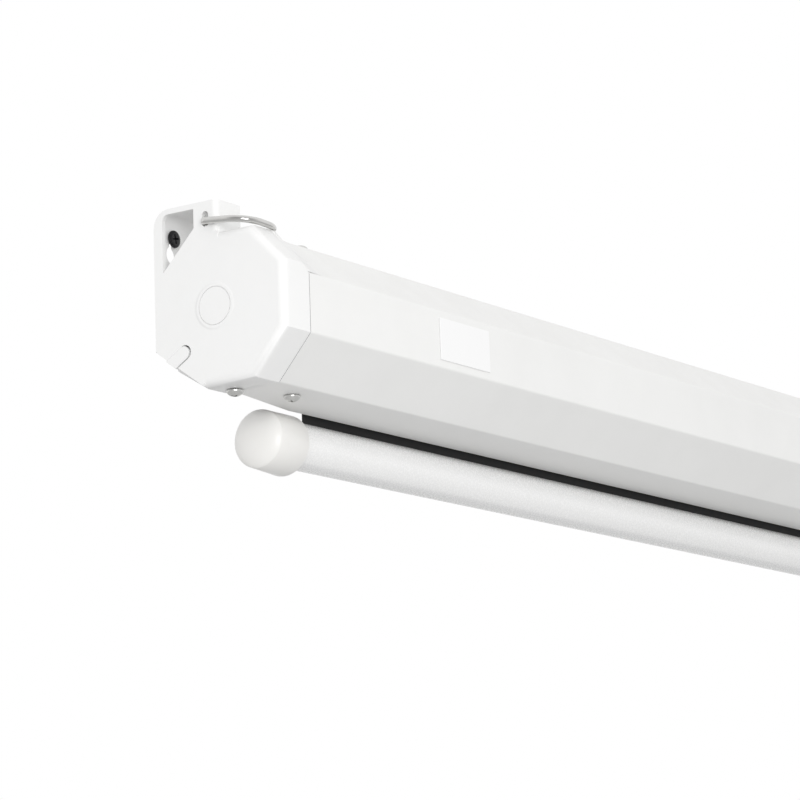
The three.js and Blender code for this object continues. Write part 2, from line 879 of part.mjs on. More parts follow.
// A pan-head screw with a cross recess: head at z = 0, shank along -Z
function panScrew() {
  const profile = [
    [0, 0],
    [panHeadRadius, 0],
    [panHeadRadius, panHeadHeight * 0.25],
    [panHeadRadius * 0.88, panHeadHeight * 0.55],
    [panHeadRadius * 0.68, panHeadHeight * 0.84],
    [panHeadRadius * 0.4, panHeadHeight * 0.97],
    [0, panHeadHeight],
  ].map(([r, z]) => new THREE.Vector2(r, z));
  const head = new THREE.LatheGeometry(profile, 16);
  head.rotateX(Math.PI / 2);
  const shank = rodZ(panShankRadius, -panLength, panHeadHeight / 2, 0, 0);
  return cut(join(solid(head), shank), ...crossTools(panHeadHeight, crossLength, crossDepth));
}

function crossTools(top, length, depth) {
  const half = crossWidth / 2;
  const reach = length / 2;
  const low = top - depth;
  const high = top + overrun;
  return [
    block(-reach, reach, -half, half, low, high),
    block(-half, half, -reach, reach, low, high),
  ];
}

// The wall screw: flat pan head, coarse thread, drawn like the others
function wallScrew() {
  const profile = [
    [0, 0],
    [wallHeadNeck, 0],
    [wallHeadRadius, wallHeadHeight * 0.4],
    [wallHeadRadius, wallHeadHeight * 0.72],
    [wallHeadRadius * 0.88, wallHeadHeight * 0.95],
    [0, wallHeadHeight],
  ].map(([r, z]) => new THREE.Vector2(r, z));
  const head = new THREE.LatheGeometry(profile, 20);
  head.rotateX(Math.PI / 2);
  const turns = Math.floor(wallShankLength / wallThreadPitch) - 1;
  const core = wallShankRadius * 0.7;
  const threads = [
    [0, overrun],
    [wallShankRadius, overrun],
  ];
  for (let i = 1; i <= turns; i++) {
    const z = -wallThreadPitch * i;
    threads.push([core, z + wallThreadPitch / 2], [wallShankRadius, z]);
  }
  threads.push([core, -wallThreadPitch * (turns + 0.5)], [0, -wallShankLength]);
  const shank = new THREE.LatheGeometry(
    threads.map(([r, z]) => new THREE.Vector2(r, z)).reverse(),
    smallSides,
  );
  shank.rotateX(Math.PI / 2);
  const cross = crossTools(wallHeadHeight, crossLength * 1.2, crossDepth);
  return cut(join(solid(head), solid(shank)), ...cross);
}

// The bearing plate stands on the cap's floor and carries the roller's axle
function bearingBracket(hole) {
  const low = capFloor + fit;
  const high = low + bearingPlate;
  const half = bearingWidth / 2;
  const legEnd = bearingX + bearingPlate;
  const footEnd = bearingX + bearingFoot;
  const screwHole = panShankRadius + screwFit;
  return cut(
    join(
      block(bearingX, legEnd, -half, half, low, bearingTop),
      block(bearingX, footEnd, -half, capScrewY + bearingFootMargin, low, high),
    ),
    rodX(hole + fit, bearingX - overrun, legEnd + overrun, 0, 0),
    rodZ(screwHole, low - overrun, high + overrun, capScrewX, capScrewY),
  );
}

// The idle axle: a headed pin held by the left bearing plate
function idleAxle() {
  return join(
    rodX(axleHead, axleStart, axleStart + axleHeadThickness, 0, 0, 20),
    rodX(axleRadius, axleStart, axleStart + axleLength, 0, 0, 20),
  );
}

const tubeBore = tubeRadius - tubeWall;
const pawlPivot = pawlPivotShare * tubeRadius;
const ratchetRadius = ratchetShare * tubeRadius;
function rollerTube() {
  const end = overallLength - tubeInset;
  return cut(
    rodX(tubeRadius, tubeInset, end, 0, 0, roundSides),
    rodX(tubeBore, tubeInset - overrun, end + overrun, 0, 0, roundSides),
  );
}

// A plug closes one end of the roller: a flange outside and a hub inside the tube
function rollerPlug(bore, pinHoles) {
  const face = tubeInset - fit;
  const plug = join(
    rodX(tubeRadius, face - flangeThickness, face, 0, 0, roundSides),
    rodX(tubeBore - fit, face - overrun, face + plugLength, 0, 0, roundSides),
  );
  const start = face - flangeThickness - overrun;
  const end = face + plugLength + overrun;
  const tools = [rodX(bore + fit, start, end, 0, 0, 20)];
  for (const [y, z] of pinHoles) {
    tools.push(rodX(pawlPinRadius + fit, start, end, y, z));
  }
  return cut(plug, ...tools);
}

// The fixed spring shaft, its two collars and the torsion spring
function springShaft() {
  return join(
    rodX(axleHead, axleStart, axleStart + axleHeadThickness, 0, 0, 20),
    rodX(shaftRadius, axleStart, collarStart + collarLength + shaftTail, 0, 0, 20),
  );
}

function collar(radius, bore, start, length) {
  return cut(
    rodX(radius, start, start + length, 0, 0, 24),
    rodX(bore, start - overrun, start + length + overrun, 0, 0, 20),
  );
}

const springStart = anchorStart + anchorLength + fit + springWire / 2;
const springEnd = springStart + springLength;
const collarStart = springEnd + springWire / 2 + fit;
function torsionSpring() {
  const points = [];
  const steps = springTurns * 8;
  for (let i = 0; i <= steps; i++) {
    const angle = (2 * Math.PI * i) / 8;
    const x = springStart + (springLength * i) / steps;
    points.push(
      new THREE.Vector3(x, springRadius * Math.cos(angle), springRadius * Math.sin(angle)),
    );
  }
  return wire(points, springWire / 2, 5, false);
}

// One pawl, lifted clear of the ratchet wheel, drawn for the pin above the axis
const lean = degrees(pawlLean);
const pawlTip = [pawlReach * Math.cos(lean), pawlPivot - pawlReach * Math.sin(lean)];
function pawlOutline(grow, swing) {
  const half = pawlWidth / 2 + grow;
  const side = [half * Math.sin(lean), half * Math.cos(lean)];
  const tip = [pawlTip[0] + grow * Math.cos(lean), pawlTip[1] - grow * Math.sin(lean)];
  const corners = [
    [0 - side[0], pawlPivot - side[1]],
    [tip[0] - side[0], tip[1] - side[1]],
    [tip[0] + side[0], tip[1] + side[1]],
    [0 + side[0], pawlPivot + side[1]],
  ];
  const pivot = new THREE.Vector2(0, pawlPivot);
  return corners.map(([y, z]) => {
    const p = new THREE.Vector2(y, z).rotateAround(pivot, -degrees(swing));
    return [p.x, p.y];
  });
}

function pawl() {
  const end = ratchetStart + ratchetThickness;
  return cut(
    join(
      prismX(pawlOutline(0, 0), ratchetStart, end),
      rodX(pawlEye, ratchetStart, end, 0, pawlPivot, 16),
    ),
    rodX(pawlPinRadius + fit, ratchetStart - overrun, end + overrun, 0, pawlPivot),
  );
}

function pawlPin() {
  const headHeight = 1.2 * fit + pawlPinRadius / 2;
  const start = ratchetStart - fit;
  const end = tubeInset + plugLength / 2;
  return join(
    rodX(pawlPinRadius, start - headHeight, end, 0, pawlPivot),
    rodX(2 * pawlPinRadius, start - headHeight, start, 0, pawlPivot),
  );
}

// The ratchet wheel, with a notch for each pawl, wide enough for its whole swing
function ratchetWheel() {
  const start = ratchetStart;
  const end = ratchetStart + ratchetThickness;
  const wheel = cut(
    rodX(ratchetRadius, start, end, 0, 0, roundSides),
    rodX(shaftRadius + fit, start - overrun, end + overrun, 0, 0, 20),
  );
  const steps = [0, 0.25, 0.5, 0.75, 1];
  const tools = steps.map((share) =>
    prismX(pawlOutline(notchClearance, share * pawlSwing), start - overrun, end + overrun),
  );
  const notch = join(...tools);
  return cut(wheel, notch, notch.rotate([180, 0, 0]));
}

// The cloth: what is wound on the roller, and the strip that hangs to the bar
const fabricEnd = overallLength - fabricInset;
function fabricRoll() {
  return cut(
    rodX(rollRadius, fabricInset, fabricEnd, 0, 0, roundSides),
    rodX(tubeRadius + fit, fabricInset - overrun, fabricEnd + overrun, 0, 0, roundSides),
  );
}

const barZ = -barDrop;
const hemRodZ = barZ + barRadius - barWall - hemRodRadius - hemGap;
function fabricDrop() {
  const half = fabricThickness / 2;
  const low = hemRodZ + hemRodRadius + fit;
  return block(fabricInset, fabricEnd, fabricY - half, fabricY + half, low, 0);
}

// The weight bar: a tube slit along its top for the cloth
const barEnd = overallLength - barInset;
function barTube() {
  const bore = barRadius - barWall;
  const half = barSlot / 2;
  const slitTop = barZ + barRadius + overrun;
  const hole = panShankRadius + screwFit;
  const middle = overallLength / 2;
  return cut(
    rodX(barRadius, barInset, barEnd, fabricY, barZ, roundSides),
    rodX(bore, barInset - overrun, barEnd + overrun, fabricY, barZ, roundSides),
    block(barInset - overrun, barEnd + overrun, fabricY - half, fabricY + half, barZ, slitTop),
    rodZ(hole, barZ - barRadius - overrun, barZ, middle - handleScrewX, fabricY),
    rodZ(hole, barZ - barRadius - overrun, barZ, middle + handleScrewX, fabricY),
  );
}

// The hem rod lies under the slit and holds the cloth's hem in the tube
function hemRod() {
  return rodX(hemRodRadius, barInset + hemRodInset, barEnd - hemRodInset, fabricY, hemRodZ);
}

// A soft end cap, slightly loose, so that it droops a little on the tube
function barCap() {
  const innerX = -fit - barCapBore * Math.sin(degrees(barCapTilt));
  const hollow = (r) => barCapDome * Math.sqrt(1 - (r / barCapDomeRadius) ** 2);
  const profile = [0, 0.3, 0.55, 0.75, 0.9, 1].map((share) => {
    const r = share * barCapRadius;
    return [barCapRim + hollow(barCapRadius) - hollow(r), r];
  });
  profile.push([barCapLength, barCapMouthRadius], [barCapLength, barCapMouthBore]);
  profile.push([innerX, barCapBore], [innerX, 0]);
  return turnedX(profile, 0, 0);
}

// The saddle under the bar, its two screws, and the handle that swings from it
const handleScrewX = saddleLength / 4;
const saddleTop = barZ - barRadius - fit;
const handleZ = saddleTop - earDrop + earHole + saddleThickness;
function handleSaddle() {
  const middle = overallLength / 2;
  const half = saddleLength / 2;
  const wide = saddleWidth / 2;
  const low = saddleTop - saddleThickness;
  const plate = block(middle - half, middle + half, fabricY - wide, fabricY + wide, low, saddleTop);
  const ears = [middle - half, middle + half - saddleThickness].map((x) =>
    block(x, x + saddleThickness, fabricY - wide, fabricY + wide, saddleTop - earDrop, saddleTop),
  );
  const hole = panShankRadius + screwFit;
  return cut(
    join(plate, ...ears),
    rodX(earHole, middle - half - overrun, middle + half + overrun, fabricY, handleZ),
    rodZ(hole, low - overrun, saddleTop + overrun, middle - handleScrewX, fabricY),
    rodZ(hole, low - overrun, saddleTop + overrun, middle + handleScrewX, fabricY),
  );
}

function pullHandle() {
  const middle = overallLength / 2;
  const outer = saddleLength / 2 + handleWire;
  const inner = outer - handleWire - handleEndReach;
  const low = handleZ - handleDrop;
  const side = [
    [-inner, handleZ],
    [-outer, handleZ],
    [-outer, low],
    [outer, low],
    [outer, handleZ],
    [inner, handleZ],
  ];
  const soft = [side[0], ...cornerArc(side[0], side[1], side[2], handleWire * 0.75, 3)];
  soft.push(...cornerArc(side[1], side[2], side[3], handleBend, 4));
  soft.push(...cornerArc(side[2], side[3], side[4], handleBend, 4));
  soft.push(...cornerArc(side[3], side[4], side[5], handleWire * 0.75, 3), side[5]);
  const points = soft.map(([x, z]) => new THREE.Vector3(middle + x, fabricY, z));
  return wire(points, handleWire / 2, ringSides, false);
}

// The bare plate stuck to the casing's front
function badgePlate() {
  const back = -casingFront - fit / 3;
  return block(
    badgeStart,
    badgeStart + badgeLength,
    back - badgeThickness,
    back,
    badgeLow,
    badgeLow + badgeHeight,
  );
}

// The scene graph
const screen = new THREE.Group();

function piece(name, body, finish, parent) {
  const mesh = new THREE.Mesh(geometryOf(body), finish);
  mesh.name = name;
  parent.add(mesh);
  return mesh;
}

// Each end is drawn as the left one. The right end is its mirror image.
function endGroup(side) {
  const group = new THREE.Group();
  if (side === "right") {
    group.scale.x = -1;
    group.position.x = overallLength;
  }
  screen.add(group);
  return group;
}

function addScrew(name, group, x, y, z, downwards) {
  const screw = piece(name, panScrew(), steel, group);
  screw.position.set(x, y, z);
  if (downwards) {
    screw.rotation.x = Math.PI;
  }
}

function addEnd(side) {
  const group = endGroup(side);
  piece("end_cap_" + side, endCap(), capPlastic, group);
  piece("hanging_ring_" + side, hangingRing(), nickel, group);
  const bearingHole = side === "left" ? axleRadius : shaftRadius;
  piece("bearing_plate_" + side, bearingBracket(bearingHole), plainSteel, group);
  const underCap = -casingBottom - capBottomDrop * 0.9 - fit;
  addScrew("cap_screw_" + side, group, capScrewX, capScrewY, underCap, true);
  const under = -casingBottom - fit;
  addScrew("casing_screw_bottom_" + side, group, casingScrewX, casingScrewBottomY, under, true);
  const above = casingTop + fit;
  addScrew("casing_screw_top_" + side, group, casingScrewTopX, casingScrewTopY, above, false);
  const wall = piece("wall_screw_" + side, wallScrew(), blackSteel, group);
  wall.position.set(keyholeX, wallReach - bracketWall - fit, keyholeZ + keyholeRise);
  wall.rotation.x = Math.PI / 2;
  const cap = piece("bar_cap_" + side, barCap(), barPlastic, group);
  cap.position.set(barInset, fabricY, barZ - barCapDrop);
  cap.rotation.y = degrees(barCapTilt);
}

function addRoller() {
  const left = endGroup("left");
  const right = endGroup("right");
  piece("roller_tube", rollerTube(), plainSteel, screen);
  piece("roller_plug_left", rollerPlug(axleRadius, []), blackPlastic, left);
  piece("idle_axle", idleAxle(), steel, left);
  const pins = [
    [0, pawlPivot],
    [0, -pawlPivot],
  ];
  piece("roller_plug_right", rollerPlug(shaftRadius, pins), blackPlastic, right);
  piece("spring_shaft", springShaft(), steel, right);
  piece("ratchet_wheel", ratchetWheel(), steel, right);
  const bore = shaftRadius + fit;
  piece("spring_anchor", collar(anchorRadius, bore, anchorStart, anchorLength), blackPlastic, right);
  piece("torsion_spring", torsionSpring(), plainSteel, right);
  piece("spring_collar", collar(tubeBore - fit, bore, collarStart, collarLength), blackPlastic, right);
  for (const [letter, turn] of [
    ["a", 0],
    ["b", Math.PI],
  ]) {
    const arm = piece("pawl_" + letter, pawl(), plainSteel, right);
    arm.rotation.x = turn;
    const pin = piece("pawl_pin_" + letter, pawlPin(), steel, right);
    pin.rotation.x = turn;
  }
  piece("fabric_roll", fabricRoll(), blackCloth, screen);
}

function addBar() {
  piece("fabric_drop", fabricDrop(), blackCloth, screen);
  piece("bar_tube", barTube(), whiteEnamel, screen);
  piece("hem_rod", hemRod(), paleCloth, screen);
  piece("handle_saddle", handleSaddle(), whiteEnamel, screen);
  const middle = overallLength / 2;
  const low = saddleTop - saddleThickness - fit;
  addScrew("handle_screw_left", screen, middle - handleScrewX, fabricY, low, true);
  addScrew("handle_screw_right", screen, middle + handleScrewX, fabricY, low, true);
  piece("pull_handle", pullHandle(), nickel, screen);
}

piece("casing_shell", casingShell(), whiteEnamel, screen);
piece("badge_plate", badgePlate(), badgeVinyl, screen);
addEnd("left");
addEnd("right");
addRoller();
addBar();

// The origin moves to the wall, in line with the left keyhole, level with the roller's axis
screen.position.set(-keyholeX, -wallReach, 0);
const part = new THREE.Group();
part.add(screen);

export default part;
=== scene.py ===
# %% [markdown]
# # A pull-down projection screen
# A long white casing hangs on the wall. A black-edged cloth comes out of a slot in it and
# ends in a round weight bar. The solids of every piece are loaded first, as a fixed frame.
# The cells below dress them: most rigid pieces are copied and get softened edges, the cloth
# is made anew as real sheets, and every surface gets a material made of nodes.
# %% Load the frame
import math
import bmesh
import bpy
from mathutils import Matrix, Vector


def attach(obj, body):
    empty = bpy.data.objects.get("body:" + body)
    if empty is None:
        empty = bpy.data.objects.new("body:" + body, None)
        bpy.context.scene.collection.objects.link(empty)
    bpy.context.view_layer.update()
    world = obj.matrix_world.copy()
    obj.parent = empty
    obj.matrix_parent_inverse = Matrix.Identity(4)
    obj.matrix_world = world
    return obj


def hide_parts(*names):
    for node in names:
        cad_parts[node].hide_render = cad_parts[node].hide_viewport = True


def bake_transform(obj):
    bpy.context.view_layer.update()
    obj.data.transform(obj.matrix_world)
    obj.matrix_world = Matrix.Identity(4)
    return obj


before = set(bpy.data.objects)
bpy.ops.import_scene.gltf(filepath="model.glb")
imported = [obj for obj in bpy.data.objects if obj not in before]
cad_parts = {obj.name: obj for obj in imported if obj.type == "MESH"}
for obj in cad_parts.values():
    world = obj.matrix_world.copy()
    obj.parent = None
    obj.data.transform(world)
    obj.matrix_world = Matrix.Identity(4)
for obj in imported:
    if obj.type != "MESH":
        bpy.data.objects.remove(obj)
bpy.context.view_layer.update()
scene = bpy.context.scene
print(len(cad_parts), "solids loaded")

# %% [markdown]
# ## Places
# The screen was drawn about the axis of its roller, in millimetres, with X from the left end
# face. The frame's origin lies on the wall, in line with the left keyhole. One helper turns
# the first into the second, so that every number below is a length that can be checked on the
# part, and another gives the same place at the far end. The weight bar's axis is named here
# too, because its finish, the handle and the cloth need it.
# %% Places in the frame
KEYHOLE_X = 11.2
WALL_Y = 36.6
LENGTH = 1700.0
BAR_Y = 24.525
BAR_Z = -53.2


def at(x, y, z):
    """A point of the drawing, in millimetres, as a point of the frame, in metres."""
    return Vector((x - KEYHOLE_X, y - WALL_Y, z)) / 1000


def mirrored(point, side):
    """The same point at the other end of the screen."""
    if side == "left":
        return point
    return Vector((at(LENGTH, 0, 0).x + at(0, 0, 0).x - point.x, point.y, point.z))


# %% [markdown]
# ## The camera
# The photograph looks up along the casing from its near left end, through a long lens. The
# place, the three axes and the lens were solved from the casing's edges and vanishing points.
# %% Camera
lens = bpy.data.cameras.new("photo_camera")
lens.sensor_width = 36
lens.lens = 145.4
lens.clip_start = 0.05
lens.clip_end = 60
camera = bpy.data.objects.new("photo_camera", lens)
right = Vector((0.5663, -0.8235, -0.0342))
up = Vector((-0.1412, -0.1378, 0.9803))
back = right.cross(up).normalized()
turn = Matrix((right, up, back)).transposed().to_4x4()
camera.matrix_world = Matrix.Translation((-1.2217, -0.9633, -0.3512)) @ turn
scene.collection.objects.link(camera)
scene.camera = camera
print("camera at", [round(v, 3) for v in camera.matrix_world.translation])

# %% [markdown]
# ## Shader groups
# Powder coat, moulded plastic, zinc and cloth all need the same few effects: a tone that
# drifts a little over the surface, a fine grain, and dust that settles on what faces up. Each
# is a node group with named sockets, built once, and every material sets its own values.
# %% Helpers that make groups and nodes
def new_group(name, inputs, outputs):
    """An empty shader group with its sockets: (name, kind, default) and (name, kind)."""
    group = bpy.data.node_groups.new(name, "ShaderNodeTree")
    for label, kind, value in inputs:
        socket = group.interface.new_socket(label, in_out="INPUT", socket_type="NodeSocket" + kind)
        socket.default_value = value
    for label, kind in outputs:
        group.interface.new_socket(label, in_out="OUTPUT", socket_type="NodeSocket" + kind)
    source = group.nodes.new("NodeGroupInput")
    sink = group.nodes.new("NodeGroupOutput")
    return group, source.outputs, sink.inputs


def fill(tree, node, links):
    """Puts a link or a plain value on each input socket that is named."""
    for key, value in links.items():
        socket = node.inputs[key]
        if isinstance(value, bpy.types.NodeSocket):
            tree.links.new(value, socket)
        else:
            socket.default_value = value


def add(tree, kind, links=(), **settings):
    """A node with its settings, and with links or values on its input sockets."""
    node = tree.nodes.new("ShaderNode" + kind)
    for key, value in settings.items():
        setattr(node, key, value)
    fill(tree, node, dict(links))
    return node


def maths(tree, operation, one, two):
    """Two values joined by a Math node."""
    return add(tree, "Math", {0: one, 1: two}, operation=operation).outputs[0]


def ramp(tree, value, low, high, least=0.0, most=1.0, smooth=False):
    """A level that goes from least to most while a value goes from low to high."""
    links = {0: value, 1: low, 2: high, 3: least, 4: most}
    way = "SMOOTHSTEP" if smooth else "LINEAR"
    return add(tree, "MapRange", links, interpolation_type=way).outputs[0]


def mixed_colour(tree, share, one, two):
    """A colour mixed from one towards two by a share."""
    return add(tree, "Mix", {0: share, 6: one, 7: two}, data_type="RGBA").outputs[2]


# %% [markdown]
# ### Drift of tone
# No painted metre of sheet is one even white. Two noises, one as long as a hand and one as
# small as a thumb, mix a base colour towards a second one by a few per cent.
# %% Drift of tone
drift, given, wanted = new_group(
    "Drift of tone",
    [
        ("Base", "Color", (0.8, 0.8, 0.8, 1)),
        ("Second", "Color", (0.7, 0.7, 0.7, 1)),
        ("Broad size", "Float", 0.12),
        ("Amount", "Float", 0.2),
    ],
    [("Color", "Color")],
)
where = add(drift, "TexCoord").outputs["Object"]
per_size = maths(drift, "DIVIDE", 1.0, given["Broad size"])
finer = maths(drift, "MULTIPLY", per_size, 6.0)
broad = add(drift, "TexNoise", {"Vector": where, "Scale": per_size, "Detail": 3.0}).outputs["Fac"]
small = add(drift, "TexNoise", {"Vector": where, "Scale": finer, "Detail": 4.0}).outputs["Fac"]
spread = ramp(drift, maths(drift, "MULTIPLY", broad, small), 0.12, 0.42)
share = maths(drift, "MULTIPLY", spread, given["Amount"])
toned = mixed_colour(drift, share, given["Base"], given["Second"])
drift.links.new(toned, wanted["Color"])
print(drift.name, "has", len(drift.nodes), "nodes")

# %% [markdown]
# ### Fine grain
# Powder coat dries with a faint orange peel, and moulded plastic copies the spark-eroded
# skin of its tool. Both are one height: a fine noise for the grain, with slower waves under it.
# %% Fine grain
grain, given, wanted = new_group(
    "Fine grain",
    [("Grain size", "Float", 0.0006), ("Wave size", "Float", 0.01), ("Waves", "Float", 0.3)],
    [("Height", "Float"), ("Mask", "Float")],
)
where = add(grain, "TexCoord").outputs["Object"]
fine_scale = maths(grain, "DIVIDE", 1.0, given["Grain size"])
wave_scale = maths(grain, "DIVIDE", 1.0, given["Wave size"])
fine = add(grain, "TexNoise", {"Vector": where, "Scale": fine_scale, "Detail": 2.0}).outputs["Fac"]
wave = add(grain, "TexNoise", {"Vector": where, "Scale": wave_scale, "Detail": 1.0}).outputs["Fac"]
lifted = add(grain, "Math", {0: wave, 1: given["Waves"], 2: fine}, operation="MULTIPLY_ADD")
grain.links.new(lifted.outputs[0], wanted["Height"])
grain.links.new(fine, wanted["Mask"])
print(grain.name, "has", len(grain.nodes), "nodes")

# %% [markdown]
# ### Settled dust
# The casing's top is never wiped. Dust lies where the surface faces up, in uneven patches.
# %% Settled dust
dust, given, wanted = new_group(
    "Settled dust",
    [
        ("Color", "Color", (0.8, 0.8, 0.8, 1)),
        ("Dust", "Color", (0.5, 0.47, 0.43, 1)),
        ("Amount", "Float", 0.15),
    ],
    [("Color", "Color")],
)
facing = add(dust, "NewGeometry").outputs["Normal"]
upward = add(dust, "SeparateXYZ", {0: facing}).outputs["Z"]
flat_top = ramp(dust, upward, 0.45, 0.98)
where = add(dust, "TexCoord").outputs["Object"]
clouds = add(dust, "TexNoise", {"Vector": where, "Scale": 45.0, "Detail": 6.0, "Roughness": 0.7})
patchy = ramp(dust, clouds.outputs["Fac"], 0.35, 0.7, 0.25, 1.0)
lying = maths(dust, "MULTIPLY", flat_top, patchy)
covered = maths(dust, "MULTIPLY", lying, given["Amount"])
dusty = mixed_colour(dust, covered, given["Color"], given["Dust"])
dust.links.new(dusty, wanted["Color"])
print(dust.name, "has", len(dust.nodes), "nodes")

# %% [markdown]
# ### Rubbed metal
# Zinc and nickel plating carry hair-fine scratches and a slightly clouded bloom. Noise that
# is stretched along one axis gives the first, and plain noise the second.
# %% Rubbed metal
rubbed, given, wanted = new_group(
    "Rubbed metal",
    [("Stretch", "Vector", (1.0, 12.0, 12.0)), ("Scale", "Float", 900.0)],
    [("Scratches", "Float"), ("Cloud", "Float")],
)
where = add(rubbed, "TexCoord").outputs["Object"]
pulled = add(rubbed, "VectorMath", {0: where, 1: given["Stretch"]}, operation="MULTIPLY")
fine_noise = {"Vector": pulled.outputs[0], "Scale": given["Scale"], "Detail": 4.0}
hairs = add(rubbed, "TexNoise", fine_noise).outputs["Fac"]
cloud = add(rubbed, "TexNoise", {"Vector": where, "Scale": 160.0, "Detail": 3.0}).outputs["Fac"]
rubbed.links.new(hairs, wanted["Scratches"])
rubbed.links.new(cloud, wanted["Cloud"])
print(rubbed.name, "has", len(rubbed.nodes), "nodes")

# %% [markdown]
# ## Materials
# Each finish is one material. The shader's own sockets hold what is the same all over, and
# the groups above feed only what varies: colour, roughness and the height of a bump.
# %% Helpers for materials
def srgb(value):
    """A display value from 0 to 1 as the linear value that a shader takes."""
    return value / 12.92 if value <= 0.04045 else ((value + 0.055) / 1.055) ** 2.4


def colour(red, green, blue):
    """A shader colour from three display values."""
    return (srgb(red), srgb(green), srgb(blue), 1.0)


def new_material(name, **sockets):
    """A material with its Principled shader, and plain values on the shader's sockets."""
    made = bpy.data.materials.new(name)
    made.use_nodes = True
    shader = made.node_tree.nodes["Principled BSDF"]
    for label, value in sockets.items():
        shader.inputs[label.replace("_", " ")].default_value = value
    return made, made.node_tree, shader


def place(tree, group, **values):
    """One of the shader groups, placed in a material's tree with its own values."""
    node = add(tree, "Group", node_tree=group)
    fill(tree, node, {label.replace("_", " "): value for label, value in values.items()})
    return node.outputs


def roughness_from(tree, shader, mask, low, high):
    """Roughness that follows a mask between two values."""
    tree.links.new(ramp(tree, mask, 0.0, 1.0, low, high), shader.inputs["Roughness"])


def bump_from(tree, shader, height, strength, distance):
    """A bump on the shader's normal. The distance is in metres."""
    bump = add(tree, "Bump", {"Height": height, "Strength": strength, "Distance": distance})
    tree.links.new(bump.outputs["Normal"], shader.inputs["Normal"])
    return bump.outputs["Normal"]


def off_axis(tree, axis_point):
    """The way from an axis along X to the surface, square to the axis."""
    here = add(tree, "TexCoord").outputs["Object"]
    away = add(tree, "VectorMath", {0: here, 1: axis_point}, operation="SUBTRACT").outputs[0]
    return add(tree, "VectorMath", {0: away, 1: (0, 1, 1)}, operation="MULTIPLY").outputs[0]


# %% [markdown]
# ### White powder coat
# The casing, the bar and the saddle: a slightly glossy white with a faint orange peel. On
# top it gathers some dust. The sheet is cut after painting, so its cut ends are bare. Faces
# that look along the casing are painted dark grey: bare steel, and painted shade in the seam
# to the caps.
# The bar has a faint grey band painted along its lower front: a painted dark reflection.
# %% White powder coat
def white_coat(name, tone, amount, dust_amount, rough, depth=0.00006, painted_reflection=None):
    """Powder coat. A painted reflection is (axis point, direction, tone): a grey line along a
    tube.
    """
    made, tree, shader = new_material(name, Specular_IOR_Level=0.5)
    second = colour(0.9, 0.9, 0.895)
    white = place(tree, drift, Base=tone, Second=second, Broad_size=0.16, Amount=amount)["Color"]
    # Painted reflection: the side of the tube that faces the given direction is mixed towards
    # grey.
    if painted_reflection:
        axis_point, direction, grey = painted_reflection
        spoke = add(tree, "VectorMath", {0: off_axis(tree, axis_point)}, operation="NORMALIZE")
        aligned = {0: spoke.outputs[0], 1: direction}
        facing = add(tree, "VectorMath", aligned, operation="DOT_PRODUCT").outputs["Value"]
        white = mixed_colour(tree, ramp(tree, facing, 0.972, 0.998, smooth=True), white, grey)
    dusty = place(tree, dust, Color=white, Amount=dust_amount)["Color"]
    # Painted shade: faces that look along X, such as the casing's cut ends, turn dark grey. This
    # stands for bare steel and for the shade in the seam to the caps.
    true_normal = add(tree, "NewGeometry").outputs["True Normal"]
    along_x = add(tree, "SeparateXYZ", {0: true_normal}).outputs["X"]
    bare_end_and_shade = add(tree, "Math", {0: along_x}, operation="ABSOLUTE").outputs[0]
    shown = mixed_colour(tree, ramp(tree, bare_end_and_shade, 0.75, 0.85), dusty, colour(0.45, 0.45, 0.46))
    tree.links.new(shown, shader.inputs["Base Color"])
    peel = place(tree, grain, Grain_size=0.0009, Wave_size=0.006, Waves=0.6)
    roughness_from(tree, shader, peel["Mask"], rough - 0.05, rough + 0.07)
    bump_from(tree, shader, peel["Height"], 0.12, depth)
    return made


enamel = white_coat("white_powder_coat", colour(0.935, 0.935, 0.93), 0.35, 0.22, 0.34)
# The bar's painted reflection: a grey band along its lower front, where a dark reflection lies.
reflection_side = Vector((0.0, -0.43, -0.903))
painted_reflection = (at(0, BAR_Y, BAR_Z), reflection_side, colour(0.93, 0.93, 0.93))
# Painted light: the bar's white is lighter than the casing's, to make up for the shade under the
# casing.
lightened_bar_white = colour(0.965, 0.965, 0.963)
bar_enamel = white_coat("white_bar_coat", lightened_bar_white, 0.15, 0.1, 0.26, 0.000015, painted_reflection)
print("coats:", enamel.name, bar_enamel.name)

# %% [markdown]
# ### Moulded plastic
# The end caps are bright white and finely grained, with a shallow round mark on the end face.
# The bar's soft caps are warmer. The plate on the casing is a bare vinyl, smooth and even.
# Black nylon is used inside.
# %% Moulded plastics
def moulded(
    name, tone, second, rough, dust_amount=0.15, grain_size=0.0005, depth=0.00005, mark=None
):
    """Grained plastic. A mark is (axis point, inner radius, outer radius) of a raised disc."""
    made, tree, shader = new_material(name, Specular_IOR_Level=0.5)
    tones = place(tree, drift, Base=tone, Second=second, Broad_size=0.05, Amount=0.35)
    dusty = place(tree, dust, Color=tones["Color"], Amount=dust_amount)
    tree.links.new(dusty["Color"], shader.inputs["Base Color"])
    skin = place(tree, grain, Grain_size=grain_size, Wave_size=0.012, Waves=0.4)
    roughness_from(tree, shader, skin["Mask"], rough - 0.06, rough + 0.08)
    normal = bump_from(tree, shader, skin["Height"], 0.2, depth)
    if mark:
        axis_point, inner, outer = mark
        spoke = add(tree, "VectorMath", {0: off_axis(tree, axis_point)}, operation="LENGTH")
        disc = ramp(tree, spoke.outputs["Value"], inner, outer, 1.0, 0.0, smooth=True)
        links = {"Height": disc, "Strength": 1.0, "Distance": 0.00022, "Normal": normal}
        tree.links.new(add(tree, "Bump", links).outputs["Normal"], shader.inputs["Normal"])
    return made


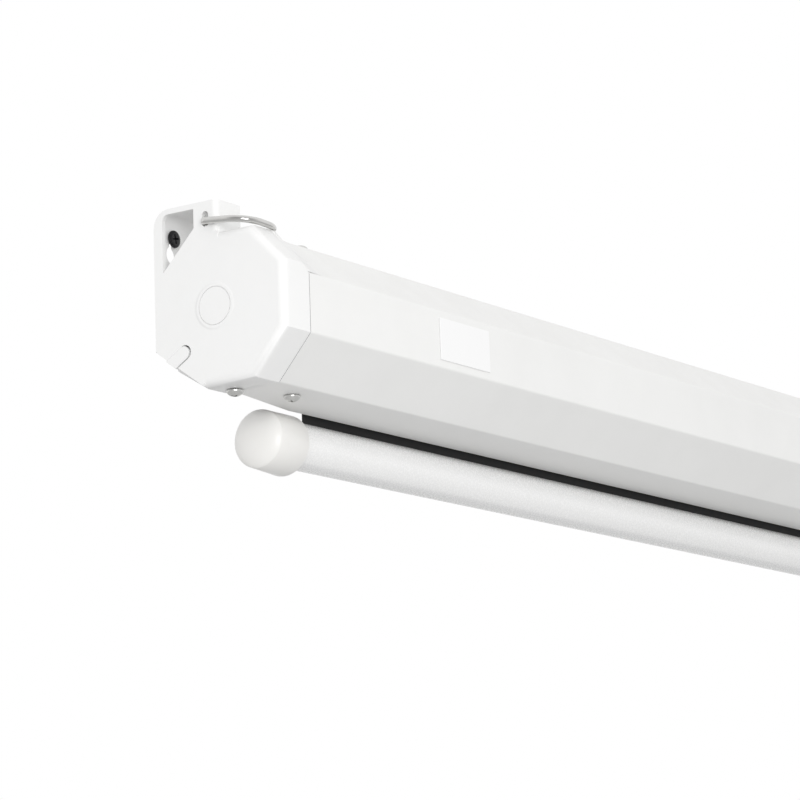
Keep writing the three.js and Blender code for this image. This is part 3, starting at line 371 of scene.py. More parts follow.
cap_white, cap_shade = colour(0.94, 0.94, 0.938), colour(0.922, 0.922, 0.918)
disc_mark = (at(0, 0, 0), 0.0108, 0.012)
cap_plastic = moulded("white_cap_plastic", cap_white, cap_shade, 0.42, mark=disc_mark)
soft_white, soft_shade = colour(0.945, 0.941, 0.931), colour(0.925, 0.92, 0.905)
bar_plastic = moulded("soft_bar_plastic", soft_white, soft_shade, 0.34)
rod_plastic = moulded("rod_plastic", colour(0.85, 0.85, 0.83), colour(0.8, 0.8, 0.78), 0.5)
black_nylon = moulded("black_nylon", colour(0.1, 0.1, 0.105), colour(0.14, 0.14, 0.145), 0.5)
badge_white, badge_shade = colour(0.957, 0.957, 0.957), colour(0.95, 0.95, 0.95)
badge_vinyl = moulded("bare_badge_vinyl", badge_white, badge_shade, 0.3, 0.0, 0.0008, 0.000004)
print("plastics:", cap_plastic.name, bar_plastic.name, rod_plastic.name, black_nylon.name)

# %% [markdown]
# ### Metals
# Nickel-plated wire, zinc-plated screws, galvanised sheet and the black wall screw differ in
# colour, in roughness and in how much their plating is clouded.
# %% Metals
def plated(name, tone, second, low, high, metallic=1.0):
    """Plated metal, whose roughness lies between two values."""
    made, tree, shader = new_material(name, Metallic=metallic)
    marks = place(tree, rubbed, Stretch=(1.0, 12.0, 12.0))
    tones = mixed_colour(tree, marks["Cloud"], tone, second)
    tree.links.new(tones, shader.inputs["Base Color"])
    roughness_from(tree, shader, marks["Scratches"], low, high)
    bump_from(tree, shader, marks["Scratches"], 0.15, 0.00002)
    return made


nickel = plated("nickel_wire", colour(0.86, 0.858, 0.85), colour(0.78, 0.777, 0.77), 0.08, 0.2)
zinc = plated("zinc_screw", colour(0.9, 0.9, 0.89), colour(0.78, 0.78, 0.77), 0.26, 0.44)
sheet_grey, sheet_shade = colour(0.66, 0.67, 0.68), colour(0.56, 0.57, 0.58)
galvanised = plated("galvanised_sheet", sheet_grey, sheet_shade, 0.3, 0.55)
black, black_shade = colour(0.1, 0.1, 0.105), colour(0.2, 0.2, 0.21)
black_oxide = plated("black_oxide_screw", black, black_shade, 0.3, 0.55, metallic=0.7)
print("metals:", nickel.name, zinc.name, galvanised.name, black_oxide.name)

# %% [markdown]
# ### Cloth
# The screen's cloth is woven glass fibre with a coating: matt white in front, black behind,
# with a printed black border. Its map holds real places on the cloth in metres, across and up
# from the bar, so the weave and the border would stay true if the strip were stretched.
# %% Cloth
FABRIC_WIDTH = 1.493
BORDER_SIDE = 0.025
BORDER_LOW = 0.035
VIEW_HEIGHT = 1.35
BORDER_BLUR = 0.0004


def band(tree, value, low, high):
    """1 where a value lies between two limits, with a short soft edge."""
    rise = ramp(tree, value, low - BORDER_BLUR, low + BORDER_BLUR)
    fall = ramp(tree, value, high - BORDER_BLUR, high + BORDER_BLUR, 1.0, 0.0)
    return maths(tree, "MULTIPLY", rise, fall)


def cloth_weave(tree, shader, map_out):
    """Plain weave: two waves at right angles, whose product lifts the crossings."""
    threads = []
    for direction in ("X", "Y"):
        links = {"Vector": map_out, "Scale": 480.0}
        threads.append(add(tree, "TexWave", links, bands_direction=direction).outputs["Fac"])
    woven = maths(tree, "MULTIPLY", *threads)
    bump_from(tree, shader, woven, 0.25, 0.00008)
    return woven


def cloth_tone(tree, base, second, broad_size, amount):
    """One colour of the cloth, drifting a little."""
    tones = {"Base": colour(*base), "Second": colour(*second)}
    return place(tree, drift, Broad_size=broad_size, Amount=amount, **tones)["Color"]


def cloth_material(name, printed):
    """Coated cloth: black all over, or white in front within the printed border."""
    made, tree, shader = new_material(
        name, Roughness=0.85, Sheen_Weight=0.15, Specular_IOR_Level=0.3
    )
    map_out = add(tree, "UVMap", uv_map="cloth").outputs["UV"]
    woven = cloth_weave(tree, shader, map_out)
    ink = cloth_tone(tree, (0.195, 0.195, 0.197), (0.22, 0.22, 0.22), 0.02, 0.6)
    if printed:
        parts = add(tree, "SeparateXYZ", {0: map_out}).outputs
        across = band(tree, parts["X"], BORDER_SIDE, FABRIC_WIDTH - BORDER_SIDE)
        along = band(tree, parts["Y"], BORDER_LOW, BORDER_LOW + VIEW_HEIGHT)
        field = maths(tree, "MULTIPLY", across, along)
        white = cloth_tone(tree, (0.94, 0.94, 0.94), (0.92, 0.92, 0.92), 0.3, 0.5)
        ink = mixed_colour(tree, field, ink, white)
    tree.links.new(ink, shader.inputs["Base Color"])
    roughness_from(tree, shader, woven, 0.9, 0.75)
    return made


cloth_face = cloth_material("cloth_face", True)
cloth_back = cloth_material("cloth_back", False)
print(len(bpy.data.materials), "materials")

# %% [markdown]
# ## Rigid pieces with softened edges
# Moulded and folded pieces catch a thin line of light on every edge. A copy of the solid is
# cleaned into large flat faces, then a bevel of a third of a millimetre rounds what is sharp.
# The alternative, a fresh model, would only repeat the solid's shape.
# %% Softened copies
WIDEST_BEVEL = 2.0
SHARP_FROM = 38
FLAT_WITHIN = 1.5
SOLID_MERGE = 4e-6
CUT_MERGE = 2e-7
BEVEL_MERGE = 1e-8


def to_object(name, mesh, materials):
    """A mesh as an object of the scene, with its materials."""
    piece = bpy.data.objects.new(name, mesh)
    for material in materials:
        mesh.materials.append(material)
    scene.collection.objects.link(piece)
    return piece


def applied(piece):
    """Apply the modifiers to the mesh."""
    graph = bpy.context.evaluated_depsgraph_get()
    made = bpy.data.meshes.new_from_object(piece.evaluated_get(graph))
    piece.modifiers.clear()
    old = piece.data
    piece.data = made
    bpy.data.meshes.remove(old)


def merge_close(mesh, reach, drop_thin=False):
    """Merge vertices within reach, in metres, and drop the faces of no area if asked to."""
    work = bmesh.new()
    work.from_mesh(mesh)
    bmesh.ops.remove_doubles(work, verts=work.verts, dist=reach)
    if drop_thin:
        bmesh.ops.dissolve_degenerate(work, dist=reach, edges=work.edges)
    work.to_mesh(mesh)
    work.free()


def settle(piece, angle=35):
    """Apply the modifiers, and shade the mesh smooth except at sharp edges."""
    applied(piece)
    merge_close(piece.data, CUT_MERGE, drop_thin=True)
    piece.data.shade_smooth()
    piece.data.set_sharp_from_angle(angle=math.radians(angle))


def softened(node, material, width=0.3, segments=2, wider=None, reshape=None):
    """A copy of a solid with its sharp edges rounded. The width is in millimetres.

    wider gives an edge's own width from its middle, and reshape moves the copy's vertices first.
    """
    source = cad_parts[node]
    work = bmesh.new()
    work.from_mesh(source.data)
    bmesh.ops.remove_doubles(work, verts=work.verts, dist=SOLID_MERGE)
    if reshape:
        reshape(work)
    flat = math.radians(FLAT_WITHIN)
    bmesh.ops.dissolve_limit(work, angle_limit=flat, verts=work.verts, edges=work.edges)
    weight = work.edges.layers.float.new("bevel_weight_edge")
    for edge in work.edges:
        if len(edge.link_faces) == 2 and edge.calc_face_angle(0) > math.radians(SHARP_FROM):
            middle = (edge.verts[0].co + edge.verts[1].co) / 2
            edge[weight] = (wider(middle) if wider else width) / WIDEST_BEVEL
    mesh = bpy.data.meshes.new(node + "_dressed")
    work.to_mesh(mesh)
    work.free()
    mesh.shade_smooth()
    piece = to_object(node + "_dressed", mesh, [material])
    bevel = piece.modifiers.new("edges", "BEVEL")
    bevel.width = WIDEST_BEVEL / 1000
    bevel.segments = segments
    bevel.limit_method = "WEIGHT"
    applied(piece)
    merge_close(piece.data, BEVEL_MERGE)
    weighted = piece.modifiers.new("normals", "WEIGHTED_NORMAL")
    weighted.keep_sharp = False
    weighted.weight = 80
    applied(piece)
    return piece


def stand_for(piece, node, body):
    """The piece rides on its body and hides the solid."""
    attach(piece, body)
    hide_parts(node)


# %% [markdown]
# ### Casing and plate
# The casing is thin sheet, folded eight ways and cut off square, with a small plate on its
# front. Both could be drawn again, but the solids have the folds already. The folds get a
# quarter of a millimetre, and the cut ends stay nearly sharp.
# %% Casing and badge
SEAM_END = 21.2


def inward(point, side):
    """A point of the frame as millimetres of the drawing, counted from its own end face."""
    x = 1000 * point.x + KEYHOLE_X
    return (x if side == "left" else LENGTH - x), 1000 * point.y + WALL_Y, 1000 * point.z


def casing_width(middle):
    """The sheet's cut ends stay sharp, so that the seam to the caps is a thin line."""
    x = inward(middle, "left")[0]
    return 0.06 if min(x, LENGTH - x) < SEAM_END else 0.25


casing = softened("casing_shell", enamel, wider=casing_width)
stand_for(casing, "casing_shell", "housing")
badge = softened("badge_plate", badge_vinyl, 0.12)
stand_for(badge, "badge_plate", "housing")
print("casing faces", len(casing.data.polygons))

# %% [markdown]
# ### End caps
# The end caps' outer border is rounded more than their cuts. Their shoulder, which laps over
# the casing, is drawn down to a feather edge, because the photograph shows no step there.
# %% Helpers for the end caps
CASING_TOP = 33.9
CASING_FRONT_SLOPE = 39.03
CASING_BACK_SLOPE = 34.79
SHOULDER_START = 20.0
SHOULDER_LENGTH = 11.0
SHOULDER_END = 31.2
SHOULDER_LOW = 10.0
SHOULDER_OUT = 1.12
FEATHERED = 0.93
BRACKET_TOP = 52.9
BRACKET_BACK = 36.5
CORNER_Y = 27.6
CORNER_Z = 44.0
CORNER_RADIUS = 8.6
FOOT_TOP = -17.5
FOOT_FRONT = 34.5
DISC_RADIUS = 11.0
SEAM_START = 20.2


def over_casing(y, z):
    """How far out a point lies, as a share of the casing's upper three sides: 1 is on them."""
    slant = math.sqrt(2)
    forward = (z - y) / slant / CASING_FRONT_SLOPE
    backward = (z + y) / slant / CASING_BACK_SLOPE
    return max(z / CASING_TOP, forward, backward)


def feathered(side):
    """Draws the shoulder's last centimetre down onto the casing."""
    def reshape(work):
        for vertex in work.verts:
            x, y, z = inward(vertex.co, side)
            out = over_casing(y, z)
            on_shoulder = SHOULDER_START < x < SHOULDER_END and z > SHOULDER_LOW
            if on_shoulder and 1.0 < out < SHOULDER_OUT:
                along = (x - SHOULDER_START) / SHOULDER_LENGTH
                keep = 1 - FEATHERED * along * along * (3 - 2 * along)
                scale = (1 + keep * (out - 1)) / out
                vertex.co.y = (y * scale - WALL_Y) / 1000
                vertex.co.z = z * scale / 1000
    return reshape


def border_width(side):
    """The end face's outer border is rounded most. The seam and the disc are barely rounded."""
    def width(middle):
        x, y, z = inward(middle, side)
        on_end_face = x < 0.05
        off_corner = math.hypot(y - CORNER_Y, z - CORNER_Z)
        corner = y > CORNER_Y and z > CORNER_Z and off_corner > CORNER_RADIUS
        foot = z < FOOT_TOP and 0.6 * y - 0.8 * z > FOOT_FRONT
        if on_end_face and (z > BRACKET_TOP or y > BRACKET_BACK or corner or foot):
            return 0.9
        if SEAM_START < x < SEAM_END or (on_end_face and math.hypot(y, z) < DISC_RADIUS):
            return 0.08
        return 0.35
    return width


# %% End caps, bearing plates and the handle's saddle
for side in ("left", "right"):
    shaped = {"wider": border_width(side), "reshape": feathered(side)}
    cap = softened("end_cap_" + side, cap_plastic, segments=3, **shaped)
    stand_for(cap, "end_cap_" + side, "housing")
    plate = softened("bearing_plate_" + side, galvanised, 0.15)
    stand_for(plate, "bearing_plate_" + side, "housing")
saddle = softened("handle_saddle", enamel, 0.3)
stand_for(saddle, "handle_saddle", "weight_bar")
print("end cap faces", len(cap.data.polygons))

# %% [markdown]
# ## Round pieces
# Wire, tubes and turned caps show their facets first, so they are made anew with many sides:
# wire is swept along its path, and soft caps and screws are profiles turned about an axis.
# %% Sweeping and turning
def grid_faces(work, rings, close_along=False):
    """Quads between neighbouring rings of vertices."""
    count = len(rings[0])
    last = len(rings) if close_along else len(rings) - 1
    for i in range(last):
        one, two = rings[i], rings[(i + 1) % len(rings)]
        for k in range(count):
            m = (k + 1) % count
            work.faces.new((one[k], one[m], two[m], two[k]))


def finished_mesh(work, name, materials, angle=35):
    """An object from the faces built so far, smooth except at sharp edges."""
    bmesh.ops.recalc_face_normals(work, faces=work.faces)
    mesh = bpy.data.meshes.new(name)
    work.to_mesh(mesh)
    work.free()
    piece = to_object(name, mesh, materials)
    mesh.shade_smooth()
    mesh.set_sharp_from_angle(angle=math.radians(angle))
    return piece


def swept(name, path, radius, sides, material, closed):
    """A round wire along a path of points. Its frame is carried along without a twist."""
    work = bmesh.new()
    rings = []
    normal = None
    count = len(path)
    for i, point in enumerate(path):
        before = path[i - 1] if closed or i else path[0]
        after = path[(i + 1) % count] if closed else path[min(i + 1, count - 1)]
        along = (after - before).normalized()
        if normal is None:
            normal = along.orthogonal()
        normal = (normal - along * normal.dot(along)).normalized()
        across = along.cross(normal)
        ring = []
        for k in range(sides):
            angle = 2 * math.pi * k / sides
            offset = normal * math.cos(angle) + across * math.sin(angle)
            ring.append(work.verts.new(point + offset * radius))
        rings.append(ring)
    grid_faces(work, rings, closed)
    if not closed:
        work.faces.new(rings[0])
        work.faces.new(rings[-1])
    return finished_mesh(work, name, [material])


def turned(name, profile, sides, material, place_at, angle=35):
    """A profile of (along, radius) in millimetres, turned about X and placed by a matrix."""
    work = bmesh.new()
    rings = []
    for along, radius in profile:
        if radius < 1e-6:
            rings.append([work.verts.new((along / 1000, 0, 0))])
            continue
        ring = []
        for k in range(sides):
            turn_by = 2 * math.pi * k / sides
            y, z = radius * math.cos(turn_by), radius * math.sin(turn_by)
            ring.append(work.verts.new((along / 1000, y / 1000, z / 1000)))
        rings.append(ring)
    for one, two in zip(rings, rings[1:]):
        for k in range(sides):
            m = (k + 1) % sides
            corners = [one[k % len(one)], one[m % len(one)], two[m % len(two)], two[k % len(two)]]
            unique = list(dict.fromkeys(corners))
            if len(unique) > 2:
                work.faces.new(unique)
    bmesh.ops.transform(work, matrix=place_at, verts=work.verts)
    return finished_mesh(work, name, [material], angle)


# %% [markdown]
# ### The hanging rings
# A rounded loop of nickel-plated wire goes through a slot in each bracket, for hanging the
# screen from hooks. It lies almost flat on the cap, its room side a little lower. Its path
# has straight sides and round corners, as has the handle's further down.
# %% Paths with round corners
def rounded(points, radii, steps=10):
    """A path whose inner corners are replaced by arcs of the given radii."""
    path = [points[0]]
    for before, corner, after, radius in zip(points, points[1:], points[2:], radii):
        one, two = (before - corner).normalized(), (after - corner).normalized()
        half = one.angle(two) / 2
        centre = corner + (one + two).normalized() * radius / math.sin(half)
        start = corner + one * radius / math.tan(half) - centre
        end = corner + two * radius / math.tan(half) - centre
        for i in range(steps + 1):
            path.append(centre + start.lerp(end, i / steps).normalized() * radius)
    path.append(points[-1])
    return path


# %% Hanging rings
RING_WIRE = 3.4
RING_LEVEL = 42.5
RING_JOIN = 10.0
RING_SLOT_Y = 4.5
RING_ROOM_Y = -22.8
RING_OUTSIDE = -2.3
RING_INSIDE = 28.0
RING_CORNERS = [2.4, 12.0, 14.0, 9.0]
RING_TILT_ACROSS = math.tan(math.radians(6))
RING_TILT_ALONG = math.tan(math.radians(2))
outline = [(RING_JOIN, RING_SLOT_Y), (RING_OUTSIDE, RING_SLOT_Y), (RING_OUTSIDE, RING_ROOM_Y)]
outline += [(RING_INSIDE, RING_ROOM_Y), (RING_INSIDE, RING_SLOT_Y), (RING_JOIN, RING_SLOT_Y)]
for side in ("left", "right"):
    loop = rounded([Vector((x, y, 0.0)) for x, y in outline], RING_CORNERS, 20)
    path = []
    for point in loop[:-1]:
        rise = (point.y - RING_SLOT_Y) * RING_TILT_ACROSS - point.x * RING_TILT_ALONG
        path.append(mirrored(at(point.x, point.y, RING_LEVEL + rise), side))
    ring = swept("ring_" + side, path, RING_WIRE / 2000, 24, nickel, True)
    stand_for(ring, "hanging_ring_" + side, "ring_" + side)
print("ring path of", len(path), "points")

# %% [markdown]
# ### The weight bar
# A thin tube, slit along its top for the cloth. A cylinder would need a cut for the slit and a
# second one for the bore. The section is drawn instead as one path, out and back, and swept
# straight along.
# %% Bar tube
BAR_RADIUS = 12.2
BAR_WALL = 1.0
BAR_START = 66.0
BAR_END_BAND = 0.2
SLIT = 1.6


def tube_section():
    """The slit tube's section: round the outside, over the lip, and back round the inside."""
    half = math.asin(SLIT / 2 / BAR_RADIUS)
    points = []
    steps = 88
    skins = ((BAR_RADIUS, range(steps + 1)), (BAR_RADIUS - BAR_WALL, range(steps, -1, -1)))
    for radius, order in skins:
        for i in order:
            angle = math.pi / 2 + half + (2 * math.pi - 2 * half) * i / steps
            points.append((radius * math.cos(angle), radius * math.sin(angle)))
    return points


work = bmesh.new()
rings = []
bar_stop = LENGTH - BAR_START
for x in (BAR_START, BAR_START + BAR_END_BAND, bar_stop - BAR_END_BAND, bar_stop):
    rings.append([work.verts.new(at(x, BAR_Y + y, BAR_Z + z)) for y, z in tube_section()])
grid_faces(work, rings)
for ring in (rings[0], rings[-1]):
    count = len(ring)
    for k in range(count // 2 - 1):
        work.faces.new((ring[k], ring[k + 1], ring[count - 2 - k], ring[count - 1 - k]))
bar = finished_mesh(work, "weight_bar_tube", [bar_enamel])
stand_for(bar, "bar_tube", "weight_bar")
print("bar tube", bar_stop - BAR_START, "mm long")

# %% [markdown]
# ### The bar's soft caps
# Each is a moulded cup with a domed end and a slightly wider mouth. A cylinder with a bevel
# would give one even rounding, while a profile keeps the dome, its edge and the flare apart.
# The caps are a loose push fit, so in the photograph they droop a little, and here they lean.
# %% Bar caps
CAP_RADIUS = 15.0
CAP_BORE = 13.1
MOUTH_RADIUS = 15.7
MOUTH_BORE = 13.8
MOUTH_EDGE = 0.2
CAP_LENGTH = 21.5
CAP_TILT = math.radians(2.4)
CAP_DROP = 0.2
CAP_RIM = -0.3
DOME_DEPTH = 8.3
DOME_RADIUS = 16.0
DOME_STEPS = 20
cap_inner = CAP_RIM - CAP_BORE * math.sin(CAP_TILT)


def dome(radius):
    """The domed end is part of an ellipsoid, which meets the cap's side at an edge."""
    depth = [DOME_DEPTH * math.sqrt(1 - (r / DOME_RADIUS) ** 2) for r in (CAP_RADIUS, radius)]
    return CAP_RIM + depth[0] - depth[1]


dome_radii = [CAP_RADIUS * step / DOME_STEPS for step in range(DOME_STEPS)]
cap_profile = [(dome(radius), radius) for radius in dome_radii]
cap_profile += [
    (dome(CAP_RADIUS) - 0.12, CAP_RADIUS - 0.07),
    (dome(CAP_RADIUS) + 0.1, CAP_RADIUS),
    (CAP_LENGTH - MOUTH_EDGE, MOUTH_RADIUS),
    (CAP_LENGTH - 0.06, MOUTH_RADIUS - 0.06),
    (CAP_LENGTH, MOUTH_RADIUS - MOUTH_EDGE),
    (CAP_LENGTH, MOUTH_BORE + MOUTH_EDGE),
    (CAP_LENGTH - MOUTH_EDGE, MOUTH_BORE),
    (cap_inner, CAP_BORE),
    (cap_inner, 0.0),
]
lean = Matrix.Rotation(CAP_TILT, 4, "Y")
for side in ("left", "right"):
    mirror = Matrix.Identity(4) if side == "left" else Matrix.Scale(-1, 4, (1, 0, 0))
    middle = Matrix.Translation(mirrored(at(BAR_START, BAR_Y, BAR_Z - CAP_DROP), side))
    name = "bar_cap_" + side
    bar_cap = turned(name + "_soft", cap_profile, 96, bar_plastic, middle @ mirror @ lean)
    stand_for(bar_cap, name, "weight_bar")
print("bar cap profile of", len(cap_profile), "points")

# %% [markdown]
# ### Screws
# Pan-head screws with a cross recess hold the caps, the casing and the handle's saddle. Head
# and thread are one turned profile, and a boolean cut takes the cross out of the head. The
# thread is drawn as rings, because it is hidden and only has to look right at the head.
# %% Screws
PAN_CROSS = (0.85, 4.0, 1.1)
PAN_THREADS = 9
PAN_PITCH = 0.8
HANDLE_SCREW_X = 11.5
SADDLE_FACE = -67.6


def screw(name, head, shank, cross, material, matrix):
    """A screw from its head's and shank's profiles, with a cross of (width, length, depth)."""
    upright = Matrix.Rotation(-math.pi / 2, 4, "Y")
    body = turned(name, head + shank, 48, material, upright, angle=30)
    top = head[0][0]
    width, length, depth = cross
    work = bmesh.new()
    for quarter in (0, 1):
        turn_by = Matrix.Rotation(quarter * math.pi / 2, 4, "Z")
        size = Matrix.Diagonal((length / 1000, width / 1000, 2 * depth / 1000, 1))
        place_at = turn_by @ Matrix.Translation((0, 0, top / 1000)) @ size
        bmesh.ops.create_cube(work, size=1, matrix=place_at)
    mesh = bpy.data.meshes.new(name + "_cross")
    work.to_mesh(mesh)
    work.free()
    tool = bpy.data.objects.new(name + "_cross", mesh)
    scene.collection.objects.link(tool)
    cutter = body.modifiers.new("cross", "BOOLEAN")
    cutter.operation = "DIFFERENCE"
    cutter.solver = "EXACT"
    cutter.use_self = True
    cutter.object = tool
    bpy.context.view_layer.update()
    settle(body, 30)
    bpy.data.objects.remove(tool)
    body.data.transform(matrix)
    return body


pan_head = [(2.9, 0.0), (2.86, 1.0), (2.7, 1.9), (2.35, 2.75), (1.8, 3.45)]
pan_head += [(1.2, 3.95), (0.65, 4.2), (0.15, 4.2), (0.0, 4.1)]
pan_shank = [(0.0, 1.6)]
for i in range(PAN_THREADS):
    pan_shank += [(-0.4 - PAN_PITCH * i, 1.6), (-0.8 - PAN_PITCH * i, 1.25)]
pan_shank.append((-8.0, 0.0))
screws = {
    "cap_screw": (15.2, 0.4, -39.66),
    "casing_screw_bottom": (50.5, -8.0, -38.4),
    "casing_screw_top": (52.6, -14.0, 34.2),
}
down = Matrix.Rotation(math.pi, 4, "X")
for side in ("left", "right"):
    for name, spot in screws.items():
        facing_way = Matrix.Identity(4) if name.endswith("top") else down
        spin = Matrix.Rotation(math.radians(25 + 40 * len(name) % 90), 4, "Z")
        matrix = Matrix.Translation(mirrored(at(*spot), side)) @ facing_way @ spin
        node = name + "_" + side
        piece = screw(node + "_turned", pan_head, pan_shank, PAN_CROSS, zinc, matrix)
        stand_for(piece, node, "housing")
for side, sign in (("left", -1), ("right", 1)):
    spot = at(LENGTH / 2 + sign * HANDLE_SCREW_X, BAR_Y, SADDLE_FACE)
    matrix = Matrix.Translation(spot) @ down @ Matrix.Rotation(0.5, 4, "Z")
    node = "handle_screw_" + side
    piece = screw(node + "_turned", pan_head, pan_shank, PAN_CROSS, zinc, matrix)
    stand_for(piece, node, "weight_bar")
print("pan-head faces", len(piece.data.polygons))

# %% [markdown]
# ### Wall screws
# The screen hangs on two black screws, one in each bracket's keyhole. The same helper makes
# them, from a flatter and wider head and a coarser thread.
# %% Wall screws
WALL_CROSS = (1.0, 5.0, 1.4)
WALL_PITCH = 2.2
HEAD_SEAT = 2.9
KEYHOLE_Z = 40.6
wall_head = [(2.0, 0.0), (1.97, 2.4), (1.88, 3.6), (1.62, 4.2)]
wall_head += [(1.3, 4.4), (0.8, 4.4), (0.45, 3.9), (0.0, 3.0)]
wall_shank = [(0.0, 1.9), (-1.0, 1.9)]
for i in range(3):
    thread = WALL_PITCH * i
    wall_shank += [(-1.6 - thread, 1.35), (-2.2 - thread, 1.9), (-2.6 - thread, 1.35)]
wall_shank += [(-7.4, 1.3), (-8.5, 0.0)]
toward_room = Matrix.Rotation(math.pi / 2, 4, "X")
spin = Matrix.Rotation(math.radians(12), 4, "Z")
for side in ("left", "right"):
    spot = mirrored(at(KEYHOLE_X, WALL_Y - HEAD_SEAT, KEYHOLE_Z), side)
    matrix = Matrix.Translation(spot) @ toward_room @ spin
    node = "wall_screw_" + side
    piece = screw(node + "_turned", wall_head, wall_shank, WALL_CROSS, black_oxide, matrix)
    stand_for(piece, node, "housing")
print("wall screw faces", len(piece.data.polygons))

# %% [markdown]
# ### The pull handle
# A loop of wire hangs from a saddle under the middle of the bar. The path has straight runs
# and round bends, and the wire is swept along it.
# %% Pull handle
HANDLE_Z = -70.7
HANDLE_LOW = HANDLE_Z - 30
HANDLE_END = 19
HANDLE_HALF = 27
HANDLE_BENDS = [0.003, 0.008, 0.008, 0.003]
HANDLE_WIRE_RADIUS = 0.002
corners = [(-HANDLE_END, HANDLE_Z), (-HANDLE_HALF, HANDLE_Z), (-HANDLE_HALF, HANDLE_LOW)]
corners += [(HANDLE_HALF, HANDLE_LOW), (HANDLE_HALF, HANDLE_Z), (HANDLE_END, HANDLE_Z)]
path = rounded([at(LENGTH / 2 + x, BAR_Y, z) for x, z in corners], HANDLE_BENDS)
handle = swept("pull_handle_wire", path, HANDLE_WIRE_RADIUS, 24, nickel, False)
stand_for(handle, "pull_handle", "pull_handle")
print("handle path of", len(path), "points")

# %% [markdown]
# ## The cloth
# Two sheets make it. One is wound on the roller, and turns with it. The other hangs from the
# roller to the bar, as at rest. All of its stretch lies in less than two centimetres below
# the roller, inside the casing, in many fine rows, so what shows below the slot always rides
# with the bar. Its map holds the real places.
# %% The hanging strip
FABRIC_START = 103.5
FABRIC_HALF = 0.22
STRIP_TOP = -0.4
STRETCH_LOW = -17.0
STRETCH_ROWS = 72
COLUMNS = 60
FRONT, BEHIND = 0, 1
PULL = 1.50796
STRIP_LOW = BAR_Z + 11.0


def share_at(weight):
    """The place along the stretch, from 0 to 1, where a smooth step reaches a weight."""
    return 0.5 - math.sin(math.asin(1 - 2 * weight) / 3)


def ripple(x):
    """How far the hanging cloth strays from flat, in millimetres."""
    return 0.12 * math.sin(9.1 * x) + 0.08 * math.sin(23.7 * x + 1.1)


def lay_map(work, layer, place_of):
    """Gives each corner of the mesh its vertex's place on the flat cloth."""
    for face in work.faces:
        for loop in face.loops:
            loop[layer].uv = place_of[loop.vert]


rows = [(STRIP_TOP, 0.0)]
for i in range(1, STRETCH_ROWS):
    weight = i / STRETCH_ROWS
    rows.append((STRIP_TOP + (STRETCH_LOW - STRIP_TOP) * share_at(weight), weight))
rows += [(STRETCH_LOW, 1.0), (-24.0, 1.0), (-31.0, 1.0), (-38.0, 1.0), (STRIP_LOW, 1.0)]
work = bmesh.new()
uv = work.loops.layers.uv.new("cloth")
place_of = {}
sides = []
for face_y in (-FABRIC_HALF, FABRIC_HALF):
    sheet_rows = []
    for z, weight in rows:
        up_from_bar = (z - STRIP_LOW) / 1000 + PULL * (1 - weight)
        line = []
        for c in range(COLUMNS + 1):
            x = FABRIC_WIDTH * c / COLUMNS
            vertex = work.verts.new(at(FABRIC_START + 1000 * x, BAR_Y + face_y + ripple(x), z))
            place_of[vertex] = (x, up_from_bar)
            line.append(vertex)
        sheet_rows.append(line)
    sides.append(sheet_rows)
front, behind = sides
for r in range(len(rows) - 1):
    for c in range(COLUMNS):
        quad = (front[r][c], front[r + 1][c], front[r + 1][c + 1], front[r][c + 1])
        work.faces.new(quad).material_index = FRONT
        quad = (behind[r][c], behind[r][c + 1], behind[r + 1][c + 1], behind[r + 1][c])
        work.faces.new(quad).material_index = BEHIND
    for c, flip in ((0, False), (COLUMNS, True)):
        quad = [front[r][c], behind[r][c], behind[r + 1][c], front[r + 1][c]]
        work.faces.new(quad[::-1] if flip else quad).material_index = BEHIND
for c in range(COLUMNS):
    for r, flip in ((0, True), (len(rows) - 1, False)):
        quad = [front[r][c], behind[r][c], behind[r][c + 1], front[r][c + 1]]
        work.faces.new(quad if flip else quad[::-1]).material_index = BEHIND
lay_map(work, uv, place_of)
strip = finished_mesh(work, "cloth_strip", [cloth_face, cloth_back])
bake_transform(strip)
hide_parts("fabric_drop")

# %% [markdown]
# ### The wound cloth
# The rest of the cloth lies on the roller in about ten turns. A plain ring would look the same
# from outside, but a sheet that is wound as a spiral, with a thin gap between its turns, can
# be measured: its length is added up along the spiral. Both its sides are black where it shows.
# %% The cloth on the roller
ROLL_INNER = 19.4
ROLL_OUTER = 23.75
LAYER = 0.44
THICKNESS = 0.4
PER_TURN = 64
turns = (ROLL_OUTER - ROLL_INNER) / LAYER
steps = round(turns * PER_TURN)
spread_out = ROLL_OUTER - ROLL_INNER - THICKNESS
work = bmesh.new()
uv = work.loops.layers.uv.new("cloth")
place_of = {}
skins = []
for offset in (0.0, THICKNESS):
    skin = []
    length = 0.0
    previous = None
    for i in range(steps + 1):
        angle = -2 * math.pi * (steps - i) / PER_TURN
        radius = ROLL_INNER + spread_out * i / steps + offset
        y, z = radius * math.cos(angle), radius * math.sin(angle)
        if previous:
            length += math.dist(previous, (y, z)) / 1000
        previous = (y, z)
        pair = []
        for x in (0.0, FABRIC_WIDTH):
            vertex = work.verts.new(at(FABRIC_START + 1000 * x, y, z))
            place_of[vertex] = (x, length + PULL)
            pair.append(vertex)
        skin.append(pair)
    skins.append(skin)
inside, outside = skins
for i in range(steps):
    a, b, c, d = outside[i], outside[i + 1], inside[i], inside[i + 1]
    work.faces.new((a[0], b[0], b[1], a[1])).material_index = BEHIND
    work.faces.new((c[0], c[1], d[1], d[0])).material_index = FRONT
    work.faces.new((a[0], c[0], d[0], b[0])).material_index = BEHIND
    work.faces.new((a[1], b[1], d[1], c[1])).material_index = BEHIND
for i in (0, steps):
    quad = (inside[i][0], outside[i][0], outside[i][1], inside[i][1])
    work.faces.new(quad).material_index = BEHIND
lay_map(work, uv, place_of)
roll = finished_mesh(work, "cloth_on_roller", [cloth_back, cloth_back])
stand_for(roll, "fabric_roll", "roller")

